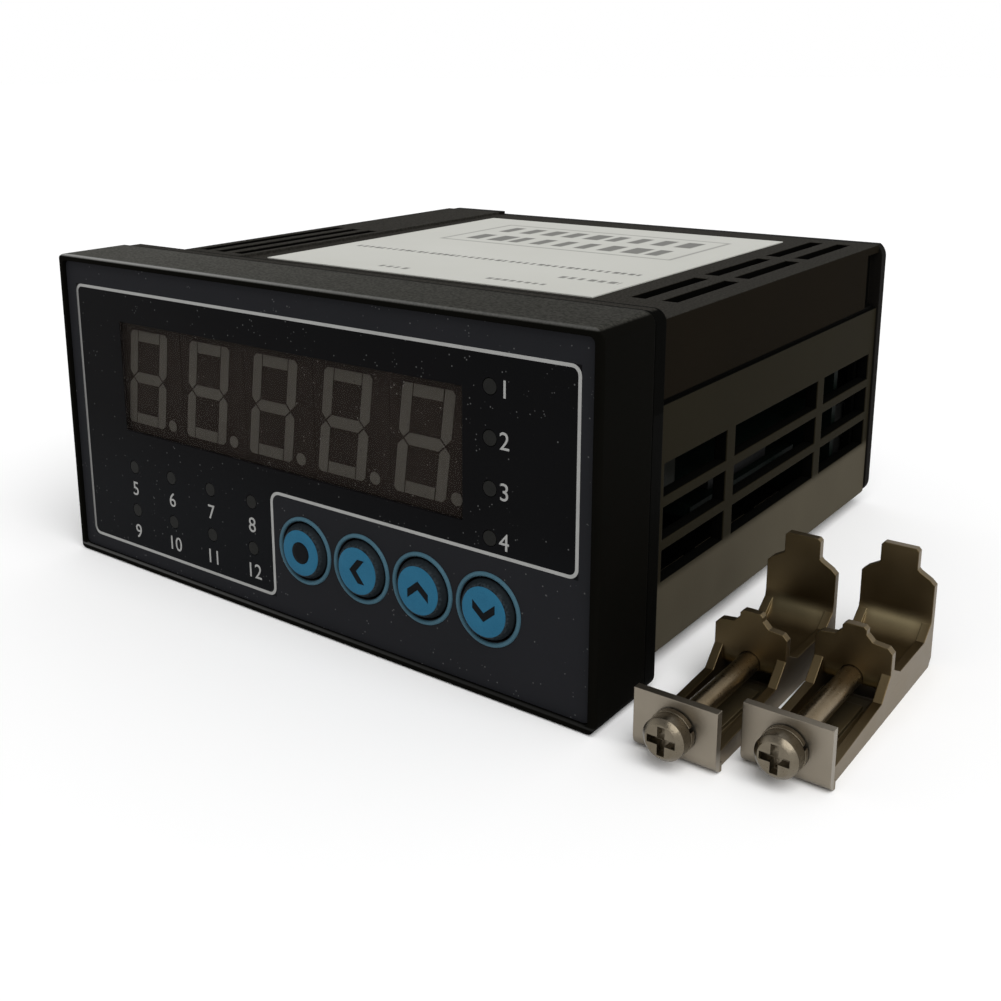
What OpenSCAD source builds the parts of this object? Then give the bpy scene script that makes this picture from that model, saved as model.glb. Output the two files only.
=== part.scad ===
// Panel-mounted weight indicator with five digits, four keys and two loose mounting clamps.
// Millimetres. The origin is the centre of the panel cut-out on the seat behind the front frame:
// +X is to the right seen from the front, +Y runs back through the panel and +Z is up.

/* [Front frame] */
// Width of the front frame
bezel_w = 96; // [94:0.5:104]
// Height of the front frame
bezel_h = 48; // [47:0.5:54]
// Depth of the front frame, from its front edge to the flange of the case
bezel_d = 12; // [11:0.5:14]
// Corner radius of the frame seen from the front
bezel_corner_r = 1.6; // [1.3:0.1:3]
// Radius that runs round the front edge
bezel_edge_r = 0.5; // [0.3:0.1:0.8]
// Width of the rim round the overlay
bezel_rim = 1; // [0.9:0.1:2.4]
// Wall behind the rim
bezel_wall = 2.2; // [1.6:0.1:2.8]
// Thickness of the plate that carries the overlay
plate_t = 1.6; // [1.2:0.1:2]
// Depth of the overlay's front below the rim
overlay_sink = 0.6; // [0.4:0.1:1.5]
// Thickness of the overlay film
overlay_t = 0.4; // [0.3:0.05:0.6]
// Length of the narrow neck that leaves a shadow line before the flange
neck_l = 0.5; // [0.3:0.1:1]
// Step from the frame's outline in to that neck
neck_step = 1.2; // [0.8:0.1:1.6]

/* [Display] */
// Distance from digit to digit
digit_pitch = 13.1; // [12.7:0.1:13.2]
// Height of a digit block
digit_h = 19; // [18:0.5:20]
// Depth of a digit block in front of its board
digit_d = 7; // [6.6:0.1:8]
// Width of the figure eight
glyph_w = 8.2; // [7:0.1:8.6]
// Height of the figure eight
glyph_h = 14.4; // [13:0.1:15]
// Width of a segment
segment_w = 1.6; // [1.2:0.1:1.9]
// Lean of the figures in degrees
glyph_lean = 7; // [0:1:8]
// Radius of a decimal point
point_r = 0.85; // [0.6:0.05:1]
// Width of the window in the overlay
window_w = 63.6; // [61:0.1:64]
// Height of the window in the overlay
window_h = 16.7; // [15.5:0.1:17.5]
// Centre of the window from the middle of the frame, to the right
window_x = -3; // [-4:0.1:-2.6]
// Centre of the window above the middle of the frame
window_z = 6.4; // [6:0.1:7.5]
// Thickness of the tinted filter behind the overlay
filter_t = 0.5; // [0.4:0.1:1]
// Radius of a status light
led_r = 0.95; // [0.7:0.05:1.2]
// Place of the column of lights at the right
led_column_x = 32.8; // [32.5:0.1:35]
// Height of the top light of that column
led_column_z = 15.3; // [14:0.05:16]
// Distance between the lights of the column
led_column_pitch = 6.2; // [5.8:0.05:6.4]
// Place of the first light in the two lower rows
led_row_x = -33.6; // [-35:0.1:-32]
// Distance between the lights of a row
led_row_pitch = 8.5; // [7:0.05:8.6]
// Height of the upper row above the frame's lower edge
led_row_rise = 16.3; // [15.5:0.05:16.6]
// Distance between the two rows
led_row_drop = 6.9; // [6:0.1:7.6]

/* [Keys] */
// Radius of a key cap at its foot
key_r = 3.9; // [3.5:0.05:4]
// Radius of a key cap's flat top
key_top_r = 3.35; // [3:0.05:3.45]
// Place of the first key
key_x = 2.1; // [1:0.05:3]
// Distance from key to key
key_pitch = 10.15; // [9.8:0.05:10.5]
// Height of the row of keys above the frame's lower edge
key_rise = 11.5; // [10.5:0.1:12]
// How far a cap stands out of the overlay
key_proud = 0.9; // [0.5:0.05:1]
// Travel of a key
key_travel = 0.4; // [0.2:0.05:0.6]
// Outer radius of the embossed ring round a key
ring_r = 4.7; // [4.6:0.05:4.85]
// Width of the embossed ring
ring_w = 0.4; // [0.2:0.05:0.45]
// Height of the embossed ring
ring_h = 0.2; // [0.1:0.05:0.3]

/* [Case] */
// Width of the case behind the panel
case_w = 91.2; // [90:0.1:91.5]
// Height of the case behind the panel
case_h = 44.2; // [43.5:0.1:44.5]
// Depth of the case behind the panel, up to the rear cover
case_d = 79.5; // [76:0.5:100]
// Wall of the case
case_wall = 1.8; // [1.4:0.1:2]
// Radius along the long outer edges
case_edge_r = 0.9; // [0.5:0.1:1.3]
// Thickness of the flange that sits on the panel
flange_d = 2.5; // [2.2:0.1:3.5]
// Step from the frame's outline in to the flange
flange_step = 0.2; // [0.1:0.1:0.6]
// Height of the parting groove on the sides
groove_z = 11; // [9:0.5:13]
// Width of the groove
groove_w = 0.5; // [0.3:0.1:0.8]
// Depth of the groove
groove_deep = 0.6; // [0.3:0.1:0.8]
// Step in of the side above the groove
upper_step = 0.3; // [0.1:0.1:0.5]
// Top of the slots in the sides
slot_top = 3.4; // [2.5:0.1:4]
// Height of one slot
slot_h = 4.4; // [4.3:0.05:4.6]
// Bar between two rows of slots
slot_bar = 1.3; // [1:0.1:1.5]
// Distance of the first column of slots behind the seat
slot_front = 5; // [4:0.5:7]
// Length of the first column
slot_len_1 = 17.9; // [14:0.1:19]
// Length of the second column
slot_len_2 = 29.6; // [26:0.1:31]
// Length of the third column
slot_len_3 = 20; // [16:0.1:20.5]
// Post between two columns
slot_post = 2.5; // [2:0.1:3]
// Length of the notch at the back of each side
notch_l = 5; // [4:0.5:7]
// Height of the notch
notch_h = 8.8; // [6:0.1:9]
// Width of a vent in the top and bottom
vent_w = 2.3; // [1.6:0.1:2.6]
// Distance between two rows of short vents
vent_pitch = 4.6; // [4:0.1:4.8]
// Distance of the outermost short vents from the middle
vent_x = 40.6; // [40.4:0.1:42]
// Start of the short vents behind the seat
vent_front = 14.5; // [9:0.5:14.5]
// Length of one short vent
vent_l = 18.5; // [16:0.5:19]
// Rib between two short vents
vent_rib = 3; // [2:0.5:3.5]
// Distance of the outermost long vent at the top left from the middle
long_vent_x = 42.2; // [41.8:0.1:42.6]
// Distance between two long vents
long_vent_pitch = 4; // [3.6:0.1:4.2]
// Start of the long vents behind the seat
long_vent_front = 9.5; // [6:0.5:10]
// Length of a long vent
long_vent_l = 33.5; // [28:0.5:36]
// Bare margin of the label field at the left of the label
label_margin_left = 3.2; // [1:0.1:4]
// Front edge of the sunk label field behind the seat
recess_front = 5; // [3:0.5:8]
// Depth of the label field below the pad at its left
recess_deep = 0.5; // [0.3:0.05:0.7]
// Width of the label
label_w = 60; // [50:0.5:62]
// Length of the label
label_l = 62; // [50:0.5:66]
// Front edge of the label behind the seat
label_front = 11; // [9:0.5:13]
// Middle of the label, to the right
label_x = 1.3; // [0.8:0.1:3]
// Thickness of the label
label_t = 0.15; // [0.1:0.05:0.25]

/* [Rear cover and terminals] */
// Thickness of the rear cover
cover_t = 2; // [1.6:0.1:3]
// Corner radius of the rear cover
cover_corner_r = 2.6; // [1.5:0.1:3.2]
// How far the rear cover stands out past the case at its sides and below
cover_proud = 0.3; // [0.1:0.05:0.4]
// Length of the skirt that goes into the case
skirt_l = 3; // [2:0.5:4]
// Wall of the skirt
skirt_t = 1.2; // [1:0.1:1.6]
// Terminals in a row
terminal_count = 11; // [8:1:11]
// Distance from terminal to terminal
terminal_pitch = 7.5; // [7:0.05:7.6]
// Height of a terminal block
terminal_h = 10; // [9:0.5:11]
// Depth of a terminal block
terminal_d = 11; // [10:0.5:12]
// Height of a row of terminals above or below the middle
terminal_z = 10.5; // [9.5:0.1:11.5]
// Partition between two terminals
partition_t = 1.2; // [0.8:0.1:1.5]
// Depth of the pocket of a terminal
pocket_d = 5; // [4:0.5:6]
// How far the blocks sit below the rear face
terminal_sink = 1; // [0.5:0.1:1.5]
// Radius of a terminal screw's head
terminal_head_r = 2.3; // [2:0.1:2.5]

/* [Boards] */
// Thickness of the circuit boards
board_t = 1.6; // [1.2:0.1:2]
// Middle of the main board above the middle of the case
main_z = -4.2; // [-5:0.1:-3.5]
// Gap from the main board's edge to the wall
main_side_gap = 2.3; // [2:0.1:4]
// Gap between the main board and the converter board under it
adc_drop = 3.4; // [2.6:0.1:4]
// Length of the converter board
adc_l = 36; // [30:1:40]
// Width of the converter board
adc_w = 31; // [26:1:34]
// Width of a relay across the case
relay_w = 19; // [15:0.5:20]
// Length of a relay along the case
relay_l = 11; // [10:0.5:13]
// Height of a relay
relay_h = 15; // [12:0.5:18]
// Width of the transformer
transformer_w = 32; // [26:0.5:36]
// Length of the transformer
transformer_l = 27; // [22:0.5:30]
// Height of the transformer
transformer_h = 21; // [16:0.5:22]
// Radius of a capacitor
capacitor_r = 5; // [4:0.1:5.5]
// Height of a capacitor
capacitor_h = 16; // [12:0.5:20]

/* [Mounting clamps] */
// Width of a clamp's end plate
clamp_w = 10.1; // [9.4:0.1:11]
// Height of the end plate
clamp_plate_h = 7.5; // [6.9:0.1:9]
// Length of a clamp
clamp_l = 36; // [34:0.5:42]
// Sheet thickness
clamp_sheet = 1.1; // [0.8:0.1:1.3]
// Width of the hooks
hook_w = 9.2; // [8.6:0.1:9.6]
// Inner radius of the bend below the rear hook
hook_bend_r = 3.6; // [3:0.1:4]
// Inner radius of the bend below the middle hook
middle_bend_r = 0.6; // [0.4:0.1:0.9]
// Distance from the end plate to the middle hook
middle_hook_y = 19.6; // [18:0.1:21]
// Height of the middle hook's shoulders
middle_shoulder = 8.6; // [8:0.1:8.9]
// Height of the foot of the middle hook's tongue
middle_tongue_z = 8.8; // [8.6:0.1:9.2]
// Height of the middle hook's tongue
middle_top = 10.5; // [10.4:0.1:11.5]
// Width of the middle hook's tongue
middle_tongue_w = 2.9; // [2.4:0.1:3.6]
// Height of the rear hook's shoulders
rear_shoulder = 11.7; // [10.5:0.1:12]
// Height of the foot of the rear hook's tongue
rear_tongue_z = 12.5; // [12:0.1:13]
// Height of the rear hook's tongue
rear_top = 15.5; // [14.5:0.1:16.5]
// Width of the rear hook's tongue
rear_tongue_w = 4.7; // [3.8:0.1:5.2]
// Thickness of the rails along the sides
rail_w = 1.1; // [0.8:0.1:1.4]
// Height of the rails at the end plate
rail_front_h = 1.9; // [1.5:0.1:2.5]
// Height of the rails in front of the middle hook
rail_middle_h = 2.8; // [2.5:0.1:3.4]
// Height of the rails between the hooks
rail_rear_h = 4.4; // [4:0.1:5]
// Underside of the raised floor between the hooks
rear_floor_z = 2.5; // [2.4:0.1:3]
// Width of the raised strip on the floor below the screw
strip_w = 4.6; // [4:0.1:5.4]
// Height of that strip
strip_h = 0.5; // [0.3:0.1:0.7]
// Diameter of the clamp screw
screw_d = 2.67; // [2.4:0.01:3]
// Height of the screw above the underside of the clamp
screw_z = 3.9; // [3.7:0.1:4.2]
// Length that the screw reaches past the middle hook
screw_reach = 2; // [1:0.5:4]
// Radius of the screw's head
screw_head_r = 2.5; // [2.4:0.1:2.9]
// Height of the screw's head
screw_head_h = 2.2; // [1.8:0.1:2.6]
// Thickness of the spring washer
washer_t = 0.7; // [0.5:0.1:0.9]
// Place of the clamp beside the frame, to the right
clamp_1_x = 57.3; // [57:0.1:60]
// Place of its end plate, along the depth
clamp_1_y = -13.3; // [-16:0.1:-8]
// Distance from the first clamp to the second, to the right
clamp_step_x = 11.1; // [11.1:0.1:16]
// Distance from the first clamp to the second, along the depth
clamp_step_y = 4.1; // [0:0.1:8]

/* [Clearances] */
// Round a key in its hole
key_gap = 0.25; // [0.2:0.05:0.3]
// Between a key's skirt and the plate in front of it
skirt_gap = 0.15; // [0.1:0.05:0.25]
// Between a pressed key and its switch
press_gap = 0.1; // [0.05:0.05:0.2]
// Round the overlay, the filter and the lights
film_gap = 0.1; // [0.05:0.05:0.15]
// Round the digits in the plate
digit_gap = 0.3; // [0.2:0.05:0.4]
// Round the boards in the case
board_gap = 0.4; // [0.3:0.05:0.6]
// Round the rear cover's skirt and the terminal blocks
cover_gap = 0.15; // [0.1:0.05:0.25]
// Between the screw and its thread in the middle hook
thread_gap = 0.08; // [0.04:0.01:0.1]
// Round the screw in the end plate and below its washer
plate_gap = 0.2; // [0.15:0.05:0.3]
// Round the small screws in their holes
pilot_gap = 0.05; // [0.03:0.01:0.1]

/* [Hidden] */
$fn = 48;
cut = 1;

// Places on the front that follow its lower edge
digit_count = 5;
key_z = key_rise - bezel_h / 2;
led_row_z = led_row_rise - bezel_h / 2;

// Levels along the depth, from the front edge to the rear face
bezel_back = -flange_d;
bezel_front = bezel_back - bezel_d;
overlay_y = bezel_front + overlay_sink;
plate_y = overlay_y + overlay_t;
plate_back = plate_y + plate_t;
filter_back = plate_y + filter_t;
digit_y = filter_back + film_gap;
display_y = digit_y + digit_d;
display_back = display_y + board_t;
cover_back = case_d + cover_t;
terminal_back = cover_back - terminal_sink;
terminal_y = terminal_back - terminal_d;
terminal_board_y = terminal_y - board_t;
washer_y = terminal_back - pocket_d;

// Widths that follow from the case
cavity_w = case_w - 2 * case_wall;
cavity_h = case_h - 2 * case_wall;
board_w = min(cavity_w, bezel_w - 2 * bezel_wall) - 2 * board_gap;
board_h = min(cavity_h, bezel_h - 2 * bezel_wall) - 2 * board_gap;
main_w = cavity_w - 2 * main_side_gap;
main_top = main_z + board_t / 2;
main_under = main_z - board_t / 2;
adc_top = main_under - adc_drop;
aperture_w = digit_count * digit_pitch + 2 * digit_gap;
aperture_h = digit_h + 2 * digit_gap;
vent_inner_x = vent_x - vent_pitch;
recess_left = label_x - label_w / 2 - label_margin_left;

// Switches, posts and small screws on the display board
switch_w = 6;
switch_h = 3.4;
plunger_r = 1.75;
plunger_h = 0.7;
stem_r = 1.2;
key_lip = 0.7;
key_skirt_t = 0.8;
led_shoulder_r = 1.45;
post_r = 2.1;
post_inset = 3.6;
pilot_r = 0.9;
pilot_l = 5;
small_head_r = 1.8;
small_head_h = 1.3;
digit_body_gap = 0.1;
segment_gap = 0.18;
segment_proud = 0.15;
segment_corner = 0.5;
point_gap = 0.8;
glyph_shift = -1;
plunger_y = display_y - switch_h - plunger_h;
stem_end = plunger_y - key_travel - press_gap;
key_skirt_y = plate_back + skirt_gap;
post_places = [
    for (side = [-1, 1], level = [-1, 1])
        [side * (board_w / 2 - post_inset), level * (board_h / 2 - post_inset)]
];
led_places = concat(
    [for (i = [0:3]) [led_column_x, led_column_z - i * led_column_pitch]],
    [for (row = [0:1], i = [0:3]) [led_row_x + i * led_row_pitch, led_row_z - row * led_row_drop]]
);
key_places = [for (i = [0:3]) [key_x + i * key_pitch, key_z]];

// Slots, vents and the rear cover's tabs
slot_columns = [
    [slot_front, slot_len_1],
    [slot_front + slot_len_1 + slot_post, slot_len_2],
    [slot_front + slot_len_1 + slot_len_2 + 2 * slot_post, slot_len_3]
];
slot_rows = [for (i = [0:2]) slot_top - slot_h - i * (slot_h + slot_bar)];
notch_z = groove_z + groove_w;
tab_gap = 0.5;
tab_sink = 1.3;
cover_post_r = 2.2;
cover_post_x = 30;

// Parts of the terminals
block_w = terminal_count * terminal_pitch + partition_t;
pocket_w = terminal_pitch - partition_t;
pocket_h = terminal_h - 2 * partition_t;
terminal_plate_w = pocket_w - 2 * cover_gap;
terminal_plate_t = 0.8;
terminal_head_h = 1.8;
terminal_shaft_r = 1.2;
terminal_shaft_l = 4;
terminal_places = [
    for (level = [-1, 1], i = [0:terminal_count - 1])
        [(i - (terminal_count - 1) / 2) * terminal_pitch, level * terminal_z]
];

// Places of the parts on the main board
relay_front = 5;
transformer_front = 33;
transformer_core_l = 16.2;
transformer_coil_w = 20.8;
transformer_coil_inset = 4.2;
capacitor_x = -30;
capacitor_pitch = 12;
capacitor_front = 34;
capacitor_groove_z = 2;
capacitor_groove_w = 1;
capacitor_groove_deep = 0.4;
adc_front = 22;
adc_inset = 0.5;
adc_right = main_w / 2 - adc_inset;
header_w = 2.5;
header_l = 20;
header_h = 2.5;
header_deep = 5;
chip_w = 12;
chip_t = 1.8;
chip_front = 14;
adc_chip_w = 8;

// Parts of a clamp
floor_z = -bezel_h / 2;
plate_inner_r = 0.5;
plate_bend_r = clamp_sheet + plate_inner_r;
hook_corner = 0.6;
tongue_tip = 0.35;
middle_flare = 0.8;
rear_flare = 0.3;
strip_inset = 2;
rear_hook_y = clamp_l - clamp_sheet;
rear_chamfer = 1;
rail_rise = 2.5;
screw_end = middle_hook_y + clamp_sheet + screw_reach;
washer_step = 0.1;
washer_r = screw_head_r + washer_step;
washer_split = 0.5;
washer_split_turn = 25;
head_dome_step = 0.65;
head_dome_r = screw_head_r + head_dome_step;
recess_bar_w = 0.9;
recess_bar_l = 3.4;
recess_bar_deep = 1.2;

// Layout helpers
module along_y(y0, y1) translate([0, y1, 0]) rotate([90, 0, 0]) linear_extrude(y1 - y0) children();
module along_x(x0, x1) translate([x0, 0, 0]) rotate([90, 0, 90]) linear_extrude(x1 - x0) children();
module along_z(z0, z1) translate([0, 0, z0]) linear_extrude(z1 - z0) children();
module at(places) for (p = places) translate([p[0], 0, p[1]]) children();
module rod(r, y0, y1) along_y(y0, y1) circle(r);
module block(x, y, z) translate([x[0], y[0], z[0]]) cube([x[1] - x[0], y[1] - y[0], z[1] - z[0]]);

module round_rect(w, h, r) {
    square([w - 2 * r, h], center = true);
    square([w, h - 2 * r], center = true);
    for (x = [-1, 1], y = [-1, 1]) translate([x * (w / 2 - r), y * (h / 2 - r)]) circle(r);
}

// Outline of the frame cut along its depth, with its two front corners rounded
module edge_profile(span) {
    translate([bezel_front + bezel_edge_r, -span / 2]) square([bezel_d - bezel_edge_r, span]);
    translate([bezel_front, bezel_edge_r - span / 2]) square([2 * bezel_edge_r, span - 2 * bezel_edge_r]);
    for (s = [-1, 1])
        translate([bezel_front + bezel_edge_r, s * (span / 2 - bezel_edge_r)]) circle(bezel_edge_r);
}

// Front frame: rounded block with a sunk front plate, open at the back
module bezel() color([0.09, 0.09, 0.09]) difference() {
    union() {
        intersection() {
            along_y(bezel_front, bezel_back - neck_l) round_rect(bezel_w, bezel_h, bezel_corner_r);
            along_x(-bezel_w / 2, bezel_w / 2) edge_profile(bezel_h);
            along_z(-bezel_h / 2, bezel_h / 2) rotate(90) edge_profile(bezel_w);
        }
        along_y(bezel_back - neck_l, bezel_back)
            square([bezel_w - 2 * neck_step, bezel_h - 2 * neck_step], center = true);
    }
    along_y(bezel_front - cut, plate_y)
        round_rect(bezel_w - 2 * bezel_rim, bezel_h - 2 * bezel_rim, bezel_corner_r / 2);
    difference() {
        along_y(plate_back, bezel_back + cut)
            square([bezel_w - 2 * bezel_wall, bezel_h - 2 * bezel_wall], center = true);
        at(post_places) rod(post_r, plate_back - cut, display_y);
    }
    at(post_places) rod(pilot_r, display_y - pilot_l - pilot_gap, display_y + cut);
    along_y(plate_y - cut, plate_back + cut)
        translate([window_x, window_z]) square([aperture_w, aperture_h], center = true);
    at(led_places) rod(led_r + film_gap, plate_y - cut, plate_back + cut);
    at(key_places) rod(key_r + key_gap, plate_y - cut, plate_back + cut);
}

// Printed film in the frame, with the embossed rings round the keys
module front_overlay() color([0.13, 0.14, 0.16]) difference() {
    union() {
        along_y(overlay_y, plate_y)
            round_rect(bezel_w - 2 * (bezel_rim + film_gap), bezel_h - 2 * (bezel_rim + film_gap),
                bezel_corner_r / 2);
        at(key_places) along_y(overlay_y - ring_h, overlay_y) difference() {
            circle(ring_r);
            circle(ring_r - ring_w);
        }
    }
    along_y(overlay_y - cut, plate_y + cut)
        translate([window_x, window_z]) square([window_w, window_h], center = true);
    at(led_places) rod(led_r + film_gap, overlay_y - cut, plate_y + cut);
    at(key_places) rod(key_r + key_gap, overlay_y - cut, plate_y + cut);
}

// Tinted filter, flush with the film and held behind it
module display_window() color([0.16, 0.13, 0.11]) translate([window_x, 0, window_z]) {
    along_y(overlay_y, plate_y) square([window_w - 2 * film_gap, window_h - 2 * film_gap], center = true);
    along_y(plate_y, filter_back)
        square([aperture_w - 2 * film_gap, aperture_h - 2 * film_gap], center = true);
}

// Figure eight: each point leans to the right with its height
function lean(p) = [p[0] + p[1] * tan(glyph_lean), p[1]];
module segment(points) polygon([for (p = points) lean(p)]);

module end_segment(up) {
    w = glyph_w / 2 - segment_w - segment_gap;
    h = glyph_h / 2;
    segment([[-w, up * h], [w, up * h], [w, up * (h - segment_w)], [-w, up * (h - segment_w)]]);
}

module side_segment(side, up) {
    w = glyph_w / 2;
    top = glyph_h / 2;
    low = segment_w / 2 + segment_gap;
    segment([[side * (w - segment_corner), up * top], [side * (w - segment_w), up * top],
        [side * (w - segment_w), up * low], [side * (w - segment_w / 2), up * segment_gap],
        [side * w, up * low], [side * w, up * (top - segment_corner)]]);
}

module middle_segment() {
    w = glyph_w / 2 - segment_w / 2 - segment_gap;
    t = segment_w / 2;
    segment([[-w, 0], [t - w, t], [w - t, t], [w, 0], [w - t, -t], [t - w, -t]]);
}

module figure_eight() translate([glyph_shift, 0]) {
    for (up = [-1, 1]) {
        end_segment(up);
        for (side = [-1, 1]) side_segment(side, up);
    }
    middle_segment();
    translate(lean([glyph_w / 2 + point_gap + point_r, point_r - glyph_h / 2])) circle(point_r);
}

// One digit block on the display board, with its segments just proud of its face
module digit(i) color([0.36, 0.33, 0.3])
    translate([window_x + (i - (digit_count - 1) / 2) * digit_pitch, 0, window_z]) {
        along_y(digit_y + segment_proud, display_y)
            square([digit_pitch - digit_body_gap, digit_h], center = true);
        along_y(digit_y, digit_y + segment_proud) figure_eight();
    }

// Round lights that look through the film, each on a sleeve that stands on the board
module status_leds() color([0.3, 0.3, 0.28]) at(led_places) {
    rod(led_r, overlay_y, plate_back + skirt_gap);
    rod(led_shoulder_r, plate_back + skirt_gap, display_y);
}

// Cap with a sloping edge, a skirt behind the plate and a stem above its switch
module key(i) color([0.16, 0.51, 0.69]) translate([key_places[i][0], 0, key_places[i][1]]) {
    translate([0, overlay_y, 0]) rotate([90, 0, 0]) cylinder(r1 = key_r, r2 = key_top_r, h = key_proud);
    rod(key_r, overlay_y, key_skirt_y);
    rod(key_r + key_lip, key_skirt_y, key_skirt_y + key_skirt_t);
    rod(stem_r, key_skirt_y + key_skirt_t, stem_end);
}

// Push switches on the display board, one behind each key
module tactile_switches() color([0.2, 0.2, 0.2]) at(key_places) {
    along_y(display_y - switch_h, display_y) square(switch_w, center = true);
    rod(plunger_r, plunger_y, display_y - switch_h);
}

// Upright board that carries the digits, lights and switches
module display_board() color([0.1, 0.32, 0.2]) difference() {
    along_y(display_y, display_back) square([board_w, board_h], center = true);
    at(post_places) rod(pilot_r + pilot_gap, display_y - cut, display_back + cut);
}

// Small screws that hold the display board on the frame's posts
module board_screws() color([0.7, 0.7, 0.7]) at(post_places) {
    rod(pilot_r - pilot_gap, display_y - pilot_l, display_back);
    rod(small_head_r, display_back, display_back + small_head_h);
}

// Level board that joins the display board to the terminal board
module main_board() color([0.12, 0.36, 0.22])
    block([-main_w / 2, main_w / 2], [display_back, terminal_board_y], [main_under, main_top]);

// Converter board for the load cell, hung below the main board on pin strips
module adc_board() color([0.12, 0.36, 0.22])
    block([adc_right - adc_w, adc_right], [adc_front, adc_front + adc_l], [adc_top - board_t, adc_top]);

// Pin strips between the boards
module board_headers() color([0.12, 0.12, 0.12]) {
    for (x = [adc_right - adc_w + header_w, adc_right - header_w])
        block([x - header_w / 2, x + header_w / 2],
            [adc_front + (adc_l - header_l) / 2, adc_front + (adc_l + header_l) / 2], [adc_top, main_under]);
    for (y = [[display_back, display_back + header_deep],
        [terminal_board_y - header_deep, terminal_board_y]])
        block([-header_l / 2, header_l / 2], y, [main_top, main_top + header_h]);
}

// Mains transformer with its coil between the two legs of its core
module transformer() color([0.42, 0.4, 0.36])
    translate([0, transformer_front + transformer_l / 2, main_top]) {
        along_z(0, transformer_h) square([transformer_w, transformer_core_l], center = true);
        along_z(transformer_coil_inset, transformer_h - transformer_coil_inset)
            square([transformer_coil_w, transformer_l], center = true);
    }

// One relay for each alarm output, at the two sides
module relays() color([0.6, 0.6, 0.58]) for (side = [-1, 1])
    translate([side * (main_w - relay_w) / 2, relay_front + relay_l / 2, main_top])
        along_z(0, relay_h) square([relay_w, relay_l], center = true);

// Smoothing capacitors with the groove of their rolled sleeve
module capacitors() color([0.1, 0.12, 0.2]) for (i = [0:2])
    translate([capacitor_x, capacitor_front + i * capacitor_pitch, main_top]) difference() {
        cylinder(r = capacitor_r, h = capacitor_h);
        translate([0, 0, capacitor_groove_z]) difference() {
            cylinder(r = capacitor_r + cut, h = capacitor_groove_w);
            cylinder(r = capacitor_r - capacitor_groove_deep, h = capacitor_groove_w);
        }
    }

// Controller on the main board and converter on its own board
module ic_packages() color([0.08, 0.08, 0.08]) {
    translate([0, chip_front + chip_w / 2, main_top]) along_z(0, chip_t) square(chip_w, center = true);
    translate([adc_right - adc_w / 2, adc_front + adc_l / 2, adc_top])
        along_z(0, chip_t) square(adc_chip_w, center = true);
}

// Upright board that carries both terminal rows
module terminal_board() color([0.12, 0.36, 0.22])
    along_y(terminal_board_y, terminal_y)
        square([cavity_w - 2 * board_gap, cavity_h - 2 * board_gap], center = true);

// Row of terminals: a block with one pocket and one screw hole for each wire
module terminal_block(level) color([0.14, 0.14, 0.14]) difference() {
    along_y(terminal_y, terminal_back) translate([0, level * terminal_z])
        square([block_w, terminal_h], center = true);
    for (p = terminal_places) if (p[1] * level > 0) translate([p[0], 0, p[1]]) {
        along_y(washer_y, terminal_back + cut) square([pocket_w, pocket_h], center = true);
        rod(terminal_shaft_r + pilot_gap, washer_y - terminal_shaft_l - pilot_gap, washer_y + cut);
    }
}

// Cross recess cut into a screw head that faces the given way along the depth
module cross_recess(face_y, deep) along_y(min(face_y, face_y + deep), max(face_y, face_y + deep)) {
    square([recess_bar_l, recess_bar_w], center = true);
    square([recess_bar_w, recess_bar_l], center = true);
}

// Terminal screws, heads to the rear
module terminal_screws() color([0.75, 0.75, 0.73]) at(terminal_places) {
    head_y = washer_y + terminal_plate_t;
    rod(terminal_shaft_r, washer_y - terminal_shaft_l, head_y);
    difference() {
        rod(terminal_head_r, head_y, head_y + terminal_head_h);
        cross_recess(head_y + terminal_head_h, -recess_bar_deep);
    }
}

// Square clamping plates below the terminal screws
module terminal_washers() color([0.75, 0.75, 0.73]) at(terminal_places)
    along_y(washer_y, washer_y + terminal_plate_t) difference() {
        square(terminal_plate_w, center = true);
        circle(terminal_shaft_r + pilot_gap);
    }

// One row of vents through the top or the bottom, given its middle and its length
module vent(x, y, l, level) translate([x, y, level * case_h / 2])
    translate([-vent_w / 2, 0, -case_wall - cut]) cube([vent_w, l, 2 * (case_wall + cut)]);

module vent_rows(side, level) for (i = [0:2], x = [vent_x, vent_inner_x])
    vent(side * x, vent_front + i * (vent_l + vent_rib), vent_l, level);

// Cuts in one side: slots, groove, set-back above it and the notch for the cover's tab
module side_cuts(side) mirror([side < 0 ? 1 : 0, 0, 0]) {
    reach = case_w / 2 + cut;
    for (column = slot_columns, z = slot_rows)
        block([cavity_w / 2 - cut, reach], [column[0], column[0] + column[1]], [z, z + slot_h]);
    block([case_w / 2 - groove_deep, reach], [0, case_d + cut], [groove_z, groove_z + groove_w]);
    block([case_w / 2 - upper_step, reach], [0, case_d + cut], [groove_z, case_h / 2 + cut]);
    block([cavity_w / 2 - cut, reach], [case_d - notch_l, case_d + cut], [notch_z, notch_z + notch_h]);
}

// Sunk field on top for the label, open to the right and to the rear
module label_recess() block([recess_left, case_w / 2 + cut], [recess_front, cover_back + cut],
    [case_h / 2 - recess_deep, case_h / 2 + cut]);

// Case: a sleeve with the flange that sits on the panel
module housing() color([0.12, 0.115, 0.11]) difference() {
    union() {
        along_y(bezel_back, 0)
            round_rect(bezel_w - 2 * flange_step, bezel_h - 2 * flange_step, bezel_corner_r);
        along_y(bezel_back, case_d) round_rect(case_w, case_h, case_edge_r);
    }
    along_y(bezel_back - cut, case_d + cut) square([cavity_w, cavity_h], center = true);
    for (side = [-1, 1]) side_cuts(side);
    label_recess();
    vent_rows(1, 1);
    for (i = [0:2]) vent(i * long_vent_pitch - long_vent_x, long_vent_front, long_vent_l, 1);
    for (side = [-1, 1]) vent_rows(side, -1);
}

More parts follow.
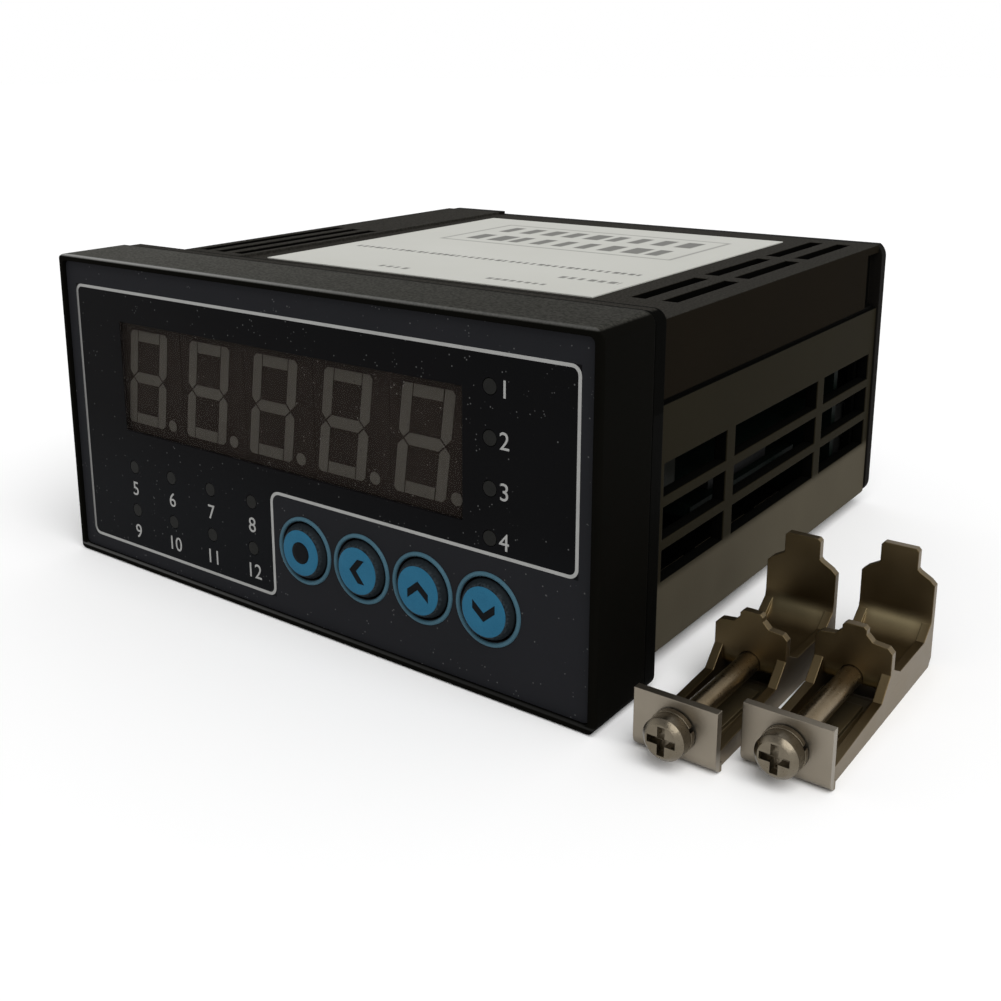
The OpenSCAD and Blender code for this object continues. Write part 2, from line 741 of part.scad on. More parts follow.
// Rear cover: a rounded plate with two terminal windows, a skirt, two posts and two snap tabs
module rear_cover() color([0.1, 0.1, 0.1]) difference() {
    outer_w = cavity_w - 2 * cover_gap;
    outer_h = cavity_h - 2 * cover_gap;
    union() {
        along_y(case_d, cover_back) translate([0, -cover_proud / 2])
            round_rect(case_w + 2 * cover_proud, case_h + cover_proud, cover_corner_r);
        along_y(case_d - skirt_l, case_d) difference() {
            square([outer_w, outer_h], center = true);
            square([outer_w - 2 * skirt_t, outer_h - 2 * skirt_t], center = true);
        }
        for (side = [-1, 1]) {
            translate([side * cover_post_x, 0, 0]) rod(cover_post_r, terminal_y, case_d);
            mirror([side < 0 ? 1 : 0, 0, 0])
                block([outer_w / 2 - skirt_t, case_w / 2 - upper_step - tab_sink],
                    [case_d - notch_l + tab_gap, case_d], [notch_z + tab_gap, notch_z + notch_h - tab_gap]);
        }
    }
    for (level = [-1, 1])
        along_y(case_d - cut, cover_back + cut) translate([0, level * terminal_z])
            square([block_w + 2 * cover_gap, terminal_h + 2 * cover_gap], center = true);
    label_recess();
}

// Printed label in its recess
module top_label() color([0.86, 0.86, 0.84])
    block([label_x - label_w / 2, label_x + label_w / 2], [label_front, label_front + label_l],
        [case_h / 2 - recess_deep, case_h / 2 - recess_deep + label_t]);

// Both clamps lie on the surface that the frame stands on
module place_clamp(i)
    translate([clamp_1_x + i * clamp_step_x, clamp_1_y + i * clamp_step_y, floor_z]) children();

// Quarter ring of bent sheet seen from the side, below its centre and in front of it or behind it
module bend(inner, way) intersection() {
    difference() {
        circle(inner + clamp_sheet);
        circle(inner);
    }
    translate([way > 0 ? 0 : -inner - clamp_sheet, -inner - clamp_sheet]) square(inner + clamp_sheet);
}

// Hook seen from the front: square shoulders and a tongue that widens at its foot
module hook_outline(shoulder, foot, top, tongue_w, flare) {
    right = [
        [hook_w / 2, 0], [hook_w / 2, shoulder - hook_corner], [hook_w / 2 - hook_corner, shoulder],
        [tongue_w / 2 + flare, foot], [tongue_w / 2, foot + flare],
        [tongue_w / 2, top - tongue_tip], [tongue_w / 2 - tongue_tip, top]
    ];
    polygon(concat(right, [for (i = [len(right) - 1:-1:0]) [-right[i][0], right[i][1]]]));
}

// A hook whose front face is at y, on a bend that leads forwards or back to the raised floor
module hook_strip(y, inner, way, top) {
    centre_z = rear_floor_z + clamp_sheet + inner;
    translate([way > 0 ? y - inner : y + clamp_sheet + inner, centre_z]) bend(inner, way);
    translate([y, centre_z]) square([clamp_sheet, top - centre_z]);
}

module middle_hook() intersection() {
    along_x(-hook_w / 2, hook_w / 2) hook_strip(middle_hook_y, middle_bend_r, -1, middle_top);
    along_y(middle_hook_y - cut, rear_hook_y)
        hook_outline(middle_shoulder, middle_tongue_z, middle_top, middle_tongue_w, middle_flare);
}

module rear_hook() intersection() {
    along_x(-hook_w / 2, hook_w / 2) hook_strip(rear_hook_y, hook_bend_r, 1, rear_top);
    along_y(middle_hook_y, clamp_l + cut)
        hook_outline(rear_shoulder, rear_tongue_z, rear_top, rear_tongue_w, rear_flare);
}

// Rail along one side, low beside the screw and higher between the hooks
module rail_outline() polygon([
    [plate_bend_r, 0], [clamp_l - rear_chamfer, 0], [clamp_l, rear_chamfer],
    [clamp_l, rail_rear_h + rail_rise], [rear_hook_y - rail_rise, rail_rear_h],
    [middle_hook_y + clamp_sheet + rail_rise, rail_rear_h],
    [middle_hook_y + clamp_sheet, rail_rear_h + rail_rise / 2],
    [middle_hook_y, rail_middle_h + rail_rise], [middle_hook_y - rail_rise, rail_middle_h],
    [clamp_sheet / 2, rail_front_h], [clamp_sheet / 2, rail_front_h / 2]
]);

// End plate with the bend at its foot
module plate_strip() {
    translate([0, plate_bend_r]) square([clamp_sheet, clamp_plate_h - plate_bend_r]);
    translate([plate_bend_r, plate_bend_r]) bend(plate_inner_r, -1);
}

// Clamp: end plate, floor with a raised strip, rails, two hooks and the raised floor between them,
// pressed from one sheet
module clamp_body(i) color([0.45, 0.42, 0.38]) place_clamp(i) difference() {
    union() {
        along_x(-clamp_w / 2, clamp_w / 2) plate_strip();
        block([-hook_w / 2, hook_w / 2], [plate_bend_r, middle_hook_y + clamp_sheet], [0, clamp_sheet]);
        block([-strip_w / 2, strip_w / 2], [plate_bend_r + strip_inset, middle_hook_y - strip_inset],
            [clamp_sheet, clamp_sheet + strip_h]);
        for (side = [-1, 1]) mirror([side < 0 ? 1 : 0, 0, 0])
            along_x(hook_w / 2 - rail_w, hook_w / 2) rail_outline();
        middle_hook();
        rear_hook();
        block([-hook_w / 2, hook_w / 2],
            [middle_hook_y + clamp_sheet + middle_bend_r, rear_hook_y - hook_bend_r],
            [rear_floor_z, rear_floor_z + clamp_sheet]);
    }
    translate([0, 0, screw_z]) {
        rod(screw_d / 2 + plate_gap, -cut, clamp_sheet + cut);
        rod(screw_d / 2 + thread_gap, middle_hook_y - cut, middle_hook_y + clamp_sheet);
        rod(screw_d / 2 + plate_gap, middle_hook_y + clamp_sheet, screw_end + plate_gap);
    }
}

// Pan-head screw with a cross recess, its tip just past the middle hook
module clamp_screw(i) color([0.62, 0.58, 0.52]) place_clamp(i) translate([0, 0, screw_z]) {
    head_back = -plate_gap - washer_t;
    rod(screw_d / 2, head_back, screw_end);
    difference() {
        intersection() {
            rod(screw_head_r, head_back - screw_head_h, head_back);
            translate([0, head_back + screw_head_r - screw_head_h, 0]) sphere(head_dome_r);
        }
        cross_recess(head_back - screw_head_h, recess_bar_deep);
    }
}

// Spring washer below the screw's head
module clamp_washer(i) color([0.5, 0.47, 0.43]) place_clamp(i) translate([0, 0, screw_z])
    along_y(-plate_gap - washer_t, -plate_gap) difference() {
        circle(washer_r);
        circle(screw_d / 2 + thread_gap);
        rotate(washer_split_turn) translate([0, -washer_split / 2]) square([washer_r + cut, washer_split]);
    }

bezel();
front_overlay();
display_window();
digit(0);  // digit_1
digit(1);  // digit_2
digit(2);  // digit_3
digit(3);  // digit_4
digit(4);  // digit_5
status_leds();
key(0);  // key_menu
key(1);  // key_left
key(2);  // key_up
key(3);  // key_down
tactile_switches();
display_board();
board_screws();
main_board();
adc_board();
board_headers();
transformer();
relays();
capacitors();
ic_packages();
terminal_board();
terminal_block(1);  // upper_terminal_block
terminal_block(-1);  // lower_terminal_block
terminal_screws();
terminal_washers();
housing();
rear_cover();
top_label();
clamp_body(0);  // clamp_body_1
clamp_body(1);  // clamp_body_2
clamp_screw(0);  // clamp_screw_1
clamp_screw(1);  // clamp_screw_2
clamp_washer(0);  // clamp_washer_1
clamp_washer(1);  // clamp_washer_2
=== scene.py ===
# %% [markdown]
# # A weight indicator for a control panel, with its two loose mounting clamps
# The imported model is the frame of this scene. Every solid already stands in its place, in metres,
# so this lesson only dresses it: a finish for each surface, and the thin things that lie on the
# solids, such as ink, key faces and screw threads. Loading comes first, because each new piece is
# measured from the solid that carries it.

# %% Load the frame
import math

import bpy
from mathutils import Matrix, Vector


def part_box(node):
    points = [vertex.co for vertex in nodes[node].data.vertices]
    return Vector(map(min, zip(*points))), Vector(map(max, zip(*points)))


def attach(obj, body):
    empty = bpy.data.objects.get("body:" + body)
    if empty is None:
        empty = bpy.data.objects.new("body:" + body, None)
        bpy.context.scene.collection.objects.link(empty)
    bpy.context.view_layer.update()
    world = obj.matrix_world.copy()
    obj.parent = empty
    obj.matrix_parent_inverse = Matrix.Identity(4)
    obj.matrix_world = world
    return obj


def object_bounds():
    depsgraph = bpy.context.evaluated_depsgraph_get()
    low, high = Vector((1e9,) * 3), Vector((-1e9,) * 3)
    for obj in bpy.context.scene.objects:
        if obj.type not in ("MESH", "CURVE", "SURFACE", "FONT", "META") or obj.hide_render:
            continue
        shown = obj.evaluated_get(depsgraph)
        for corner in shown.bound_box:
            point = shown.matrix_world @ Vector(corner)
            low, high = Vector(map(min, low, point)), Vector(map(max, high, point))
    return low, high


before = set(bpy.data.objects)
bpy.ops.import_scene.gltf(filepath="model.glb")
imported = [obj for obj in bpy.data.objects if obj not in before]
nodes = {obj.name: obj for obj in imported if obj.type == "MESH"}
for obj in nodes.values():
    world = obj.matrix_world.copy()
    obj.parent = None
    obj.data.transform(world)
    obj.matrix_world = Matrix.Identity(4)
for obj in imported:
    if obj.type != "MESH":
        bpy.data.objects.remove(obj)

cad_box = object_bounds()
MM = 0.001

# %% [markdown]
# ## Camera
# The photograph looks at the front from the right and from a little above, quite close, so the lines
# of the case run together towards the back. A camera turned by hand never gets that right. Here the
# place, the turn and the focal length come from a fit to the corners of the object, and the lens
# shift moves the picture's middle to where the photograph has it.

# %% Camera
PICTURE_PIXELS = 1001
FOCAL_PIXELS = 1216.78
MIDDLE_PIXEL = (438.44, 361.72)
SENSOR_WIDTH = 36
CAMERA_PLACE = Vector((111.7, -123.7, 51.0)) * MM
AZIMUTH = math.radians(38.18)
ELEVATION = math.radians(13.62)
ROLL = math.radians(-0.58)
NEAREST = 1 * MM


def begin(add, **settings):
    """Adds a new object with nothing else selected, and returns it."""
    bpy.ops.object.select_all(action="DESELECT")
    add(**settings)
    return bpy.context.object


def camera_turn():
    """The camera's axes as a rotation: right, up and backwards."""
    back = Vector((math.sin(AZIMUTH) * math.cos(ELEVATION), -math.cos(AZIMUTH) * math.cos(ELEVATION),
                   math.sin(ELEVATION)))
    right = Vector((0, 0, 1)).cross(back).normalized()
    up = back.cross(right)
    rolled = right * math.cos(ROLL) + up * math.sin(ROLL)
    return Matrix((rolled, back.cross(rolled), back)).transposed()


camera = begin(bpy.ops.object.camera_add, location=CAMERA_PLACE, rotation=camera_turn().to_euler())
camera.data.sensor_width = SENSOR_WIDTH
camera.data.lens = FOCAL_PIXELS / PICTURE_PIXELS * SENSOR_WIDTH
camera.data.shift_x = 0.5 - MIDDLE_PIXEL[0] / PICTURE_PIXELS
camera.data.shift_y = MIDDLE_PIXEL[1] / PICTURE_PIXELS - 0.5
camera.data.clip_start = NEAREST
bpy.context.scene.camera = camera
print("camera: lens", round(camera.data.lens, 2), "mm, shift", round(camera.data.shift_x, 3),
      round(camera.data.shift_y, 3))

# %% [markdown]
# ## Sums on sockets
# A finish is a net of nodes, and most of its nodes are plain arithmetic: a mask times a colour, one
# minus a mask, a height above an edge. Wired by hand, that is hard to read. One small class wraps a
# socket, so that a sum in Python adds the Math nodes, and its one method `node` makes all the others.

# %% The wire class
SHARP = 0.02 * MM


class Wire:
    """One socket of a node tree. Sums on wires add Math nodes to the tree."""

    def __init__(self, tree, socket=None):
        self.tree = tree
        self.socket = socket

    def node(self, kind, settings=None, inputs=None, output=0):
        """Any node: its settings come first, then the values or links of its sockets."""
        made = self.tree.nodes.new(kind)
        for name, value in (settings or {}).items():
            setattr(made, name, value)
        for name, value in (inputs or {}).items():
            if isinstance(value, Wire):
                self.tree.links.new(value.socket, made.inputs[name])
            else:
                made.inputs[name].default_value = value
        return Wire(self.tree, made.outputs[output] if len(made.outputs) else None)

    def math(self, operation, first, second=0.0):
        return self.node("ShaderNodeMath", {"operation": operation}, {0: first, 1: second})

    def __add__(self, other):
        return self.math("ADD", self, other)

    def __sub__(self, other):
        return self.math("SUBTRACT", self, other)

    def __rsub__(self, other):
        return self.math("SUBTRACT", other, self)

    def __mul__(self, other):
        return self.math("MULTIPLY", self, other)

    def __truediv__(self, other):
        return self.math("DIVIDE", self, other)

    def __abs__(self):
        return self.math("ABSOLUTE", self)

    __radd__ = __add__
    __rmul__ = __mul__

    def most(self, other):
        """The larger of two masks."""
        return self.math("MAXIMUM", self, other)

    def part(self, axis):
        """One coordinate of a place: X, Y or Z."""
        return self.node("ShaderNodeSeparateXYZ", None, {"Vector": self}, axis)

    def over(self, edge, soft=SHARP):
        """A mask that is 1 above the edge and 0 below it, with a soft step between."""
        return self.node("ShaderNodeMapRange", {"interpolation_type": "SMOOTHSTEP"},
                         {"Value": self, "From Min": edge - soft, "From Max": edge + soft})

    def within(self, low, high, soft=SHARP):
        """A mask of the band from low to high."""
        return self.over(low, soft) * (1 - self.over(high, soft))

    def mix(self, first, second):
        """From the first colour to the second as this mask goes from 0 to 1."""
        return self.node("ShaderNodeMix", {"data_type": "RGBA"}, {0: self, 6: first, 7: second}, 2)


def tone(red, green, blue):
    """A colour as it looks on the screen, from 0 to 255, in the linear numbers of a shader."""
    def linear(level):
        level = level / 255
        return level / 12.92 if level < 0.04045 else ((level + 0.055) / 1.055) ** 2.4
    return (linear(red), linear(green), linear(blue), 1.0)


print("tones: mid grey is", round(tone(128, 128, 128)[0], 3), "in a shader")

# %% [markdown]
# ## Floor, light and white surround
# The object stands on a white sheet under one wide, soft lamp. A sun lamp lights the sheet evenly up
# to the horizon, where area lamps would leave a grey edge, and a large angle keeps its shadow soft.
# The surround is white for the camera and in reflections, and dimmer as a light, so that black
# plastic stays black. Towards the top it falls off to grey, which gives bent metal its shading.

# %% Floor and lamp
FLOOR_SIZE = 12
FLOOR_DROP = 0.02 * MM
SHEET_WHITE = 0.96
SUN_TURN = (math.radians(33), math.radians(14), math.radians(38))
SUN_STRENGTH = 2.15
SUN_ANGLE = math.radians(55)


def grey(level):
    """An even grey in the linear numbers of a shader."""
    return (level, level, level, 1)


def new_material(name):
    """An empty material and the bare wire that its nodes are made from."""
    material = bpy.data.materials.new(name)
    material.use_nodes = True
    material.node_tree.nodes.clear()
    return material, Wire(material.node_tree)


def white_sheet():
    material, bare = new_material("white_sheet")
    paper = bare.node("ShaderNodeBsdfDiffuse", None, {"Color": grey(SHEET_WHITE)})
    bare.node("ShaderNodeOutputMaterial", None, {"Surface": paper})
    return material


floor = begin(bpy.ops.mesh.primitive_plane_add, size=FLOOR_SIZE,
              location=(0, 0, cad_box[0][2] - FLOOR_DROP))
floor.name = "floor"
floor.data.materials.append(white_sheet())
sun = begin(bpy.ops.object.light_add, type="SUN", rotation=SUN_TURN)
sun.data.energy = SUN_STRENGTH
sun.data.angle = SUN_ANGLE
print("floor at z", round(floor.location.z / MM, 2), "mm")

# %% White surround
AMBIENT = 0.55
ZENITH_GREY = 0.3
ZENITH_HEIGHT = 0.6
ZENITH_SOFT = 0.3


def studio_world():
    """White for the camera and in reflections, a dim even light for everything else."""
    world = bpy.data.worlds.new("studio")
    world.use_nodes = True
    world.node_tree.nodes.clear()
    bare = Wire(world.node_tree)
    direction = bare.node("ShaderNodeTexCoord", output="Generated")
    zenith = direction.part("Z").over(ZENITH_HEIGHT, ZENITH_SOFT)
    surround = zenith.mix(grey(1), grey(ZENITH_GREY))
    path = bare.tree.nodes.new("ShaderNodeLightPath")
    seen = [Wire(bare.tree, path.outputs[name])
            for name in ("Is Camera Ray", "Is Glossy Ray", "Is Transmission Ray")]
    shown = bare.math("MINIMUM", seen[0] + seen[1] + seen[2], 1.0)
    light = bare.node("ShaderNodeBackground", None, {"Color": grey(1), "Strength": AMBIENT})
    backdrop = bare.node("ShaderNodeBackground", None, {"Color": surround, "Strength": 1.0})
    both = bare.node("ShaderNodeMixShader", None, {0: shown, 1: light, 2: backdrop})
    bare.node("ShaderNodeOutputWorld", None, {"Surface": both})
    return world


scene = bpy.context.scene
scene.world = studio_world()
scene.view_settings.view_transform = "Standard"
print("surround:", scene.world.name, "with", len(scene.world.node_tree.nodes), "nodes")

# %% [markdown]
# ## What every finish shares
# Each material starts from the object's own coordinates, because a pattern on those stays where it is
# when the part moves. Moulded plastic and pressed metal have three things in common: a grain, a
# roughness that is never quite even, and edges that catch the light. A Bevel node rounds the edges
# for the light only, so the solids keep their size.

# %% Shared helpers for the finishes
BEVEL_SAMPLES = 6


def new_finish(name):
    """A new material, and the object's own coordinates in it as a wire."""
    material, bare = new_material(name)
    return material, bare.node("ShaderNodeTexCoord", output="Object")


def noise(point, size, detail=2.0):
    """Cloudy noise between 0 and 1, with lumps of about the given size."""
    return point.node("ShaderNodeTexNoise", None, {"Vector": point, "Scale": 1 / size, "Detail": detail})


def bumped(height, depth, edge_radius=0.0, strength=1.0):
    """A normal with a relief of the given depth, on edges rounded by the given radius."""
    inputs = {"Height": height, "Distance": depth, "Strength": strength}
    if edge_radius:
        inputs["Normal"] = height.node("ShaderNodeBevel", {"samples": BEVEL_SAMPLES},
                                       {"Radius": edge_radius})
    return height.node("ShaderNodeBump", None, inputs)


def in_box(across, up, low, high, soft=SHARP):
    """A mask of a rectangle from its low to its high corner."""
    return across.within(low[0], high[0], soft) * up.within(low[1], high[1], soft)


def close_material(point, inputs):
    """Ends a material with its surface shader."""
    surface = point.node("ShaderNodeBsdfPrincipled", None, inputs)
    point.node("ShaderNodeOutputMaterial", None, {"Surface": surface})


def dress(material, *names):
    """Puts a finish on CAD nodes."""
    for name in names:
        mesh = nodes[name].data
        mesh.materials.clear()
        mesh.materials.append(material)
    print(material.name, "on", ", ".join(names))


print("finishes: to be made for", len(nodes), "nodes")

# %% [markdown]
# ## Front frame
# The frame is moulded in deep black plastic with a fine, even spark texture. Its top is painted a
# lighter grey, partly dust and partly painted light from above, lighter towards the left. A painted
# highlight lightens the front edge at the top, at the left and, faintly, along the lip at its foot,
# and fades towards the right. One could model the grain, but it is far too fine for that: a noise in
# the bump gives it, one mask picks out the top, and another one paints the highlight on the edge.

# %% Front frame
EDGE_LINE = 0.25 * MM
EDGE_SOFT = 0.15 * MM
EDGE_DEPTH = 0.4 * MM
LIP_LOW = 0.85 * MM
LIP_HIGH = 1.1 * MM
LIP_SOFT = 0.1 * MM
LIP_SHARE = 0.3
DUST_DEPTH = 0.3 * MM
DUST_END = 0.7 * MM
DUST_LUMP = 0.36 * MM
DEPTH_SOFT = 0.2 * MM
FADE_MIDDLE = -5 * MM
FADE_HALF = 45 * MM
FADE_SHARE = 0.8
frame_low, frame_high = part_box("bezel")


def settled_dust(point, thin, thick):
    """Dust in small lumps, between a thin and a thick tone; the tones passed in also carry painted light.
    """
    return noise(point, DUST_LUMP).over(0.5, 0.2).mix(thin, thick)


def frame_plastic():
    material, point = new_finish("frame_plastic")
    x, y, z = (point.part(axis) for axis in "XYZ")
    grain = noise(point, 0.22 * MM, 3)
    cloud = noise(point, 9 * MM)
    top = z.over(frame_high.z - DUST_DEPTH, EDGE_SOFT) * (1 - y.over(frame_high.y - DUST_END, DEPTH_SOFT))
    # Painted highlight: a light line along the front edge at the left and the top, and a faint one on the
    # lip.
    left = 1 - x.over(frame_low.x + EDGE_LINE, EDGE_SOFT)
    outline = left.most(z.over(frame_high.z - EDGE_LINE, EDGE_SOFT))
    lip_highlight = z.within(frame_low.z + LIP_LOW, frame_low.z + LIP_HIGH, LIP_SOFT)
    # The painted highlight and the painted light on the top both fade towards the right.
    fade = 1 - x.over(FADE_MIDDLE, FADE_HALF) * FADE_SHARE
    edge = (outline * fade).most(lip_highlight * fade * LIP_SHARE)
    edge = edge * (1 - y.over(frame_low.y + EDGE_DEPTH, DEPTH_SOFT))
    black = cloud.mix(tone(8, 8, 6), tone(12, 11, 9))
    # The top's tones: dust in small lumps, and painted light from above, lighter at the left.
    thin_dust_and_light = fade.mix(tone(33, 33, 30), tone(54, 54, 50))
    thick_dust_and_light = fade.mix(tone(54, 53, 49), tone(76, 75, 71))
    dust_and_light = settled_dust(point, thin_dust_and_light, thick_dust_and_light)
    close_material(point, {
        "Base Color": (edge * 0.85).mix(top.mix(black, dust_and_light), tone(142, 142, 140)),
        "Roughness": 0.5 + cloud * 0.14 - edge * 0.12,
        "Specular IOR Level": 0.003,
        "Normal": bumped(grain, 0.012 * MM, 0.3 * MM),
    })
    return material


dress(frame_plastic(), "bezel")

# %% [markdown]
# ## Printed front film
# The film in the frame is printed from behind in two blacks: a bluish dark grey on the margin and
# round the keys, and a deeper, glossier black inside the white line. The step between them hides
# under that line. The two fields are two rectangles, so a mask of two boxes is simpler and sharper
# than any painted picture. Specks of dust lie on it, most of them above the digits.

# %% Fields and specks of the film
LINE_LEFT = -44.7 * MM
LINE_RIGHT = 45.1 * MM
LINE_TOP = 19.6 * MM
LINE_BOTTOM = -20.8 * MM
LINE_STEP_X = -3.8 * MM
LINE_STEP_Z = -5.5 * MM
FIELD_LAP = 0.1 * MM
FIELD_FADE = 8 * MM
DUSTIEST_LOW = (-12 * MM, 13 * MM)
DUSTIEST_HIGH = (40 * MM, 18 * MM)
DUSTIEST_FADE = 6 * MM
film_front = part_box("display_window")[0].y


def dark_field(x, z):
    """A mask of the L-shaped field inside the white line."""
    upper = in_box(x, z, (LINE_LEFT, LINE_STEP_Z), (LINE_RIGHT, LINE_TOP))
    lower = in_box(x, z, (LINE_LEFT, LINE_BOTTOM), (LINE_STEP_X, LINE_STEP_Z + FIELD_LAP))
    return 1 - (1 - upper) * (1 - lower)


def specks(point, spacing, share):
    """Tiny specks of dust: the middles of some cells of a scattered pattern."""
    cells = point.node("ShaderNodeTexVoronoi", None, {"Vector": point, "Scale": 1 / spacing}, "Distance")
    thick = in_box(point.part("X"), point.part("Z"), DUSTIEST_LOW, DUSTIEST_HIGH, DUSTIEST_FADE)
    chosen = (noise(point, spacing * 2.3, 0) + thick * 0.1).over(share, 0.02)
    return (1 - cells.over(0.15, 0.06)) * chosen


print("film: front at y", round(film_front / MM, 2), "mm")


# %% Printed front film
def film_finish():
    material, point = new_finish("printed_film")
    x, z = (point.part(axis) for axis in "XZ")
    inside = dark_field(x, z)
    cloud = noise(point, 14 * MM)
    speck = specks(point, 0.6 * MM, 0.63)
    margin = cloud.mix(tone(28, 29, 31), tone(33, 33, 36))
    deep = cloud.mix(tone(9, 9, 10), tone(13, 13, 14))
    field = z.over(LINE_STEP_Z, FIELD_FADE).mix(tone(15, 16, 18), deep)
    close_material(point, {
        "Base Color": (speck * 0.4).mix(inside.mix(margin, field), tone(120, 121, 120)),
        "Roughness": 0.5 - inside * 0.18 + cloud * 0.08,
        "Specular IOR Level": 0.02,
        "Normal": bumped(noise(point, 0.3 * MM), 0.004 * MM, 0.1 * MM),
    })
    return material


dress(film_finish(), "front_overlay")

# %% [markdown]
# ## Display window, digits and lights
# Behind the brown smoked filter stand five digit blocks, unlit, with milky segments on a dull face.
# Real glass needs many bounces to let light in, so the filter is a dark, glossy skin with some
# transparency: the lamps then reach the digits directly. The segments stand a hair proud of their
# block, so the depth alone tells the shader which is which.

# %% Display window
def smoked_filter():
    material, point = new_finish("smoked_filter")
    cloud = noise(point, 18 * MM)
    speck = specks(point, 0.8 * MM, 0.6)
    smoke = cloud.mix(tone(27, 23, 21), tone(31, 27, 24))
    close_material(point, {
        "Base Color": (speck * 0.5).mix(smoke, tone(150, 145, 138)),
        "Roughness": 0.26 + cloud * 0.1,
        "Specular IOR Level": 0.02,
        "Alpha": 0.36 + speck * 0.4,
    })
    return material


dress(smoked_filter(), "display_window")

# %% Digits and lights
DIGITS = [f"digit_{i}" for i in range(1, 6)]
SEGMENT_PROUD = 0.15 * MM
digit_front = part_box(DIGITS[0])[0].y


def digit_finish():
    material, point = new_finish("digit_block")
    segment = 1 - point.part("Y").over(digit_front + SEGMENT_PROUD / 2, SEGMENT_PROUD / 4)
    cloud = noise(point, 4 * MM)
    milky = cloud.mix(tone(132, 127, 117), tone(144, 139, 129))
    face = cloud.mix(tone(62, 54, 48), tone(69, 61, 55))
    close_material(point, {
        "Base Color": segment.mix(face, milky),
        "Roughness": 0.62 - segment * 0.18,
        "Specular IOR Level": 0.05,
        "Normal": bumped(noise(point, 0.15 * MM), 0.006 * MM, 0.05 * MM),
    })
    return material


def light_finish():
    material, point = new_finish("unlit_light")
    cloud = noise(point, 1.2 * MM)
    close_material(point, {
        "Base Color": cloud.mix(tone(22, 22, 21), tone(31, 31, 29)),
        "Roughness": 0.3 + cloud * 0.15,
        "Specular IOR Level": 0.05,
    })
    return material


dress(digit_finish(), *DIGITS)
dress(light_finish(), "status_leds")

# %% [markdown]
# ## The case
# The case is moulded in a warmer black. Above the parting groove it has a coarse matt texture, below
# the groove the sides are smoother, and the band below the slots is much paler, a painted reflection
# of the white table. So the height decides between three finishes of one material, which keeps the
# changes exactly at the groove and at the slots. The top and a strip of the flange are painted
# lighter, partly dust and partly painted light from above. The rest of the flange is as black as the
# frame, and painted shade blackens the seam behind it, the groove, the long vents on top and the
# inside. The rear cover is a separate moulding and has the finer grain of the frame; its front part,
# inside the case, is painted black as shade.

# %% Where the case changes
GROOVE_Z = (11.0 * MM, 11.5 * MM)
GROOVE_LAP = 0.05 * MM
GROOVE_CLEAR = 0.6 * MM
BAND_Z = -12.6 * MM
BAND_FADE = 0.8 * MM
CASE_SIDE = 45.6 * MM
UPPER_SIDE = 45.3 * MM
CASE_TOP = 22.1 * MM
CASE_FLOOR = 1.5 * MM
CASE_SKIN = 0.15 * MM
FLANGE_BACK = 0.4 * MM
FLANGE_STRIP = (-1.9 * MM, -0.4 * MM)
NEAR = 0.1 * MM
FAR = 1
VENT_LOW = (-43.6 * MM, 9 * MM)
VENT_HIGH = (-32.5 * MM, 44 * MM)
VENT_CLEAR = 2 * MM
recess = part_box("top_label")[0]
flange_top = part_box("housing")[1].z
# Boxes of the inside that get painted shade: how far they reach to the side, their low and high edge.
INSIDES = (
    (CASE_SIDE - CASE_SKIN, CASE_FLOOR - CASE_TOP, GROOVE_Z[0] - GROOVE_CLEAR),
    (UPPER_SIDE - CASE_SKIN, 0.0, recess.z - NEAR),
)


def case_shade(x, y, z):
    """A mask of what is black: the flange, and painted shade in the seam behind it, the inside, the slot
    walls, the long vents and the groove.
    """
    strip = in_box(y, z, (FLANGE_STRIP[0], flange_top - NEAR), (FLANGE_STRIP[1], FAR), NEAR)
    # The flange is black; the thin seam just behind it is painted shade.
    dark = (1 - y.over(FLANGE_BACK, NEAR)) * (1 - strip)
    for reach, low, high in INSIDES:
        dark = dark.most(in_box(abs(x), z, (-FAR, low), (reach, high)))
    # Painted shade in the long vents on the top, towards the left.
    sunk = in_box(x, z, (-FAR, recess.z - FAR), (recess.x - VENT_CLEAR, CASE_TOP - NEAR))
    vents = sunk * in_box(x, y, VENT_LOW, VENT_HIGH)
    # Painted shade in the groove.
    groove = in_box(abs(x), z, (UPPER_SIDE - MM, GROOVE_Z[0] - GROOVE_LAP), (FAR, GROOVE_Z[1] + GROOVE_LAP))
    return dark.most(groove.most(vents))


print("case: flange top at z", round(flange_top / MM, 2), "mm, recess at", round(recess.z / MM, 2), "mm")

# %% Case and rear cover
COVER_FRONT = 79.5 * MM
COVER_SOFT = 0.05 * MM
TOP_STEP = 0.06 * MM
TOP_SOFT = 0.04 * MM


def case_finish():
    material, point = new_finish("case_plastic")
    x, y, z = (point.part(axis) for axis in "XYZ")
    upper = z.over(GROOVE_Z[1], GROOVE_LAP)
    grain = noise(point, 0.3 * MM, 3)
    cloud = noise(point, 16 * MM)
    band = 1 - z.over(BAND_Z, BAND_FADE)
    top = z.over(recess.z - TOP_STEP, TOP_SOFT)
    matt = cloud.mix(tone(19, 16, 11), tone(24, 20, 14))
    satin = cloud.mix(tone(29, 26, 18), tone(35, 32, 23))
    # The band below the slots: a much paler tone, a painted reflection of the white table.
    painted_sheen = cloud.mix(tone(68, 63, 52), tone(80, 75, 63))
    # The top: dust in small lumps, and painted light from above.
    dust_and_light = settled_dust(point, tone(35, 34, 31), tone(52, 50, 46))
    outer = top.mix(band.mix(upper.mix(satin, matt), painted_sheen), dust_and_light)
    close_material(point, {
        # Painted shade blackens the inside, the slot walls, the vents, the groove and the seam behind the
        # flange.
        "Base Color": case_shade(x, y, z).mix(outer, cloud.mix(tone(5, 5, 4), tone(8, 8, 7))),
        "Roughness": 0.44 + upper * 0.2 + cloud * 0.1,
        "Specular IOR Level": 0.004,
        "Normal": bumped(grain, 0.02 * MM, 0.25 * MM, 0.8),
    })
    return material


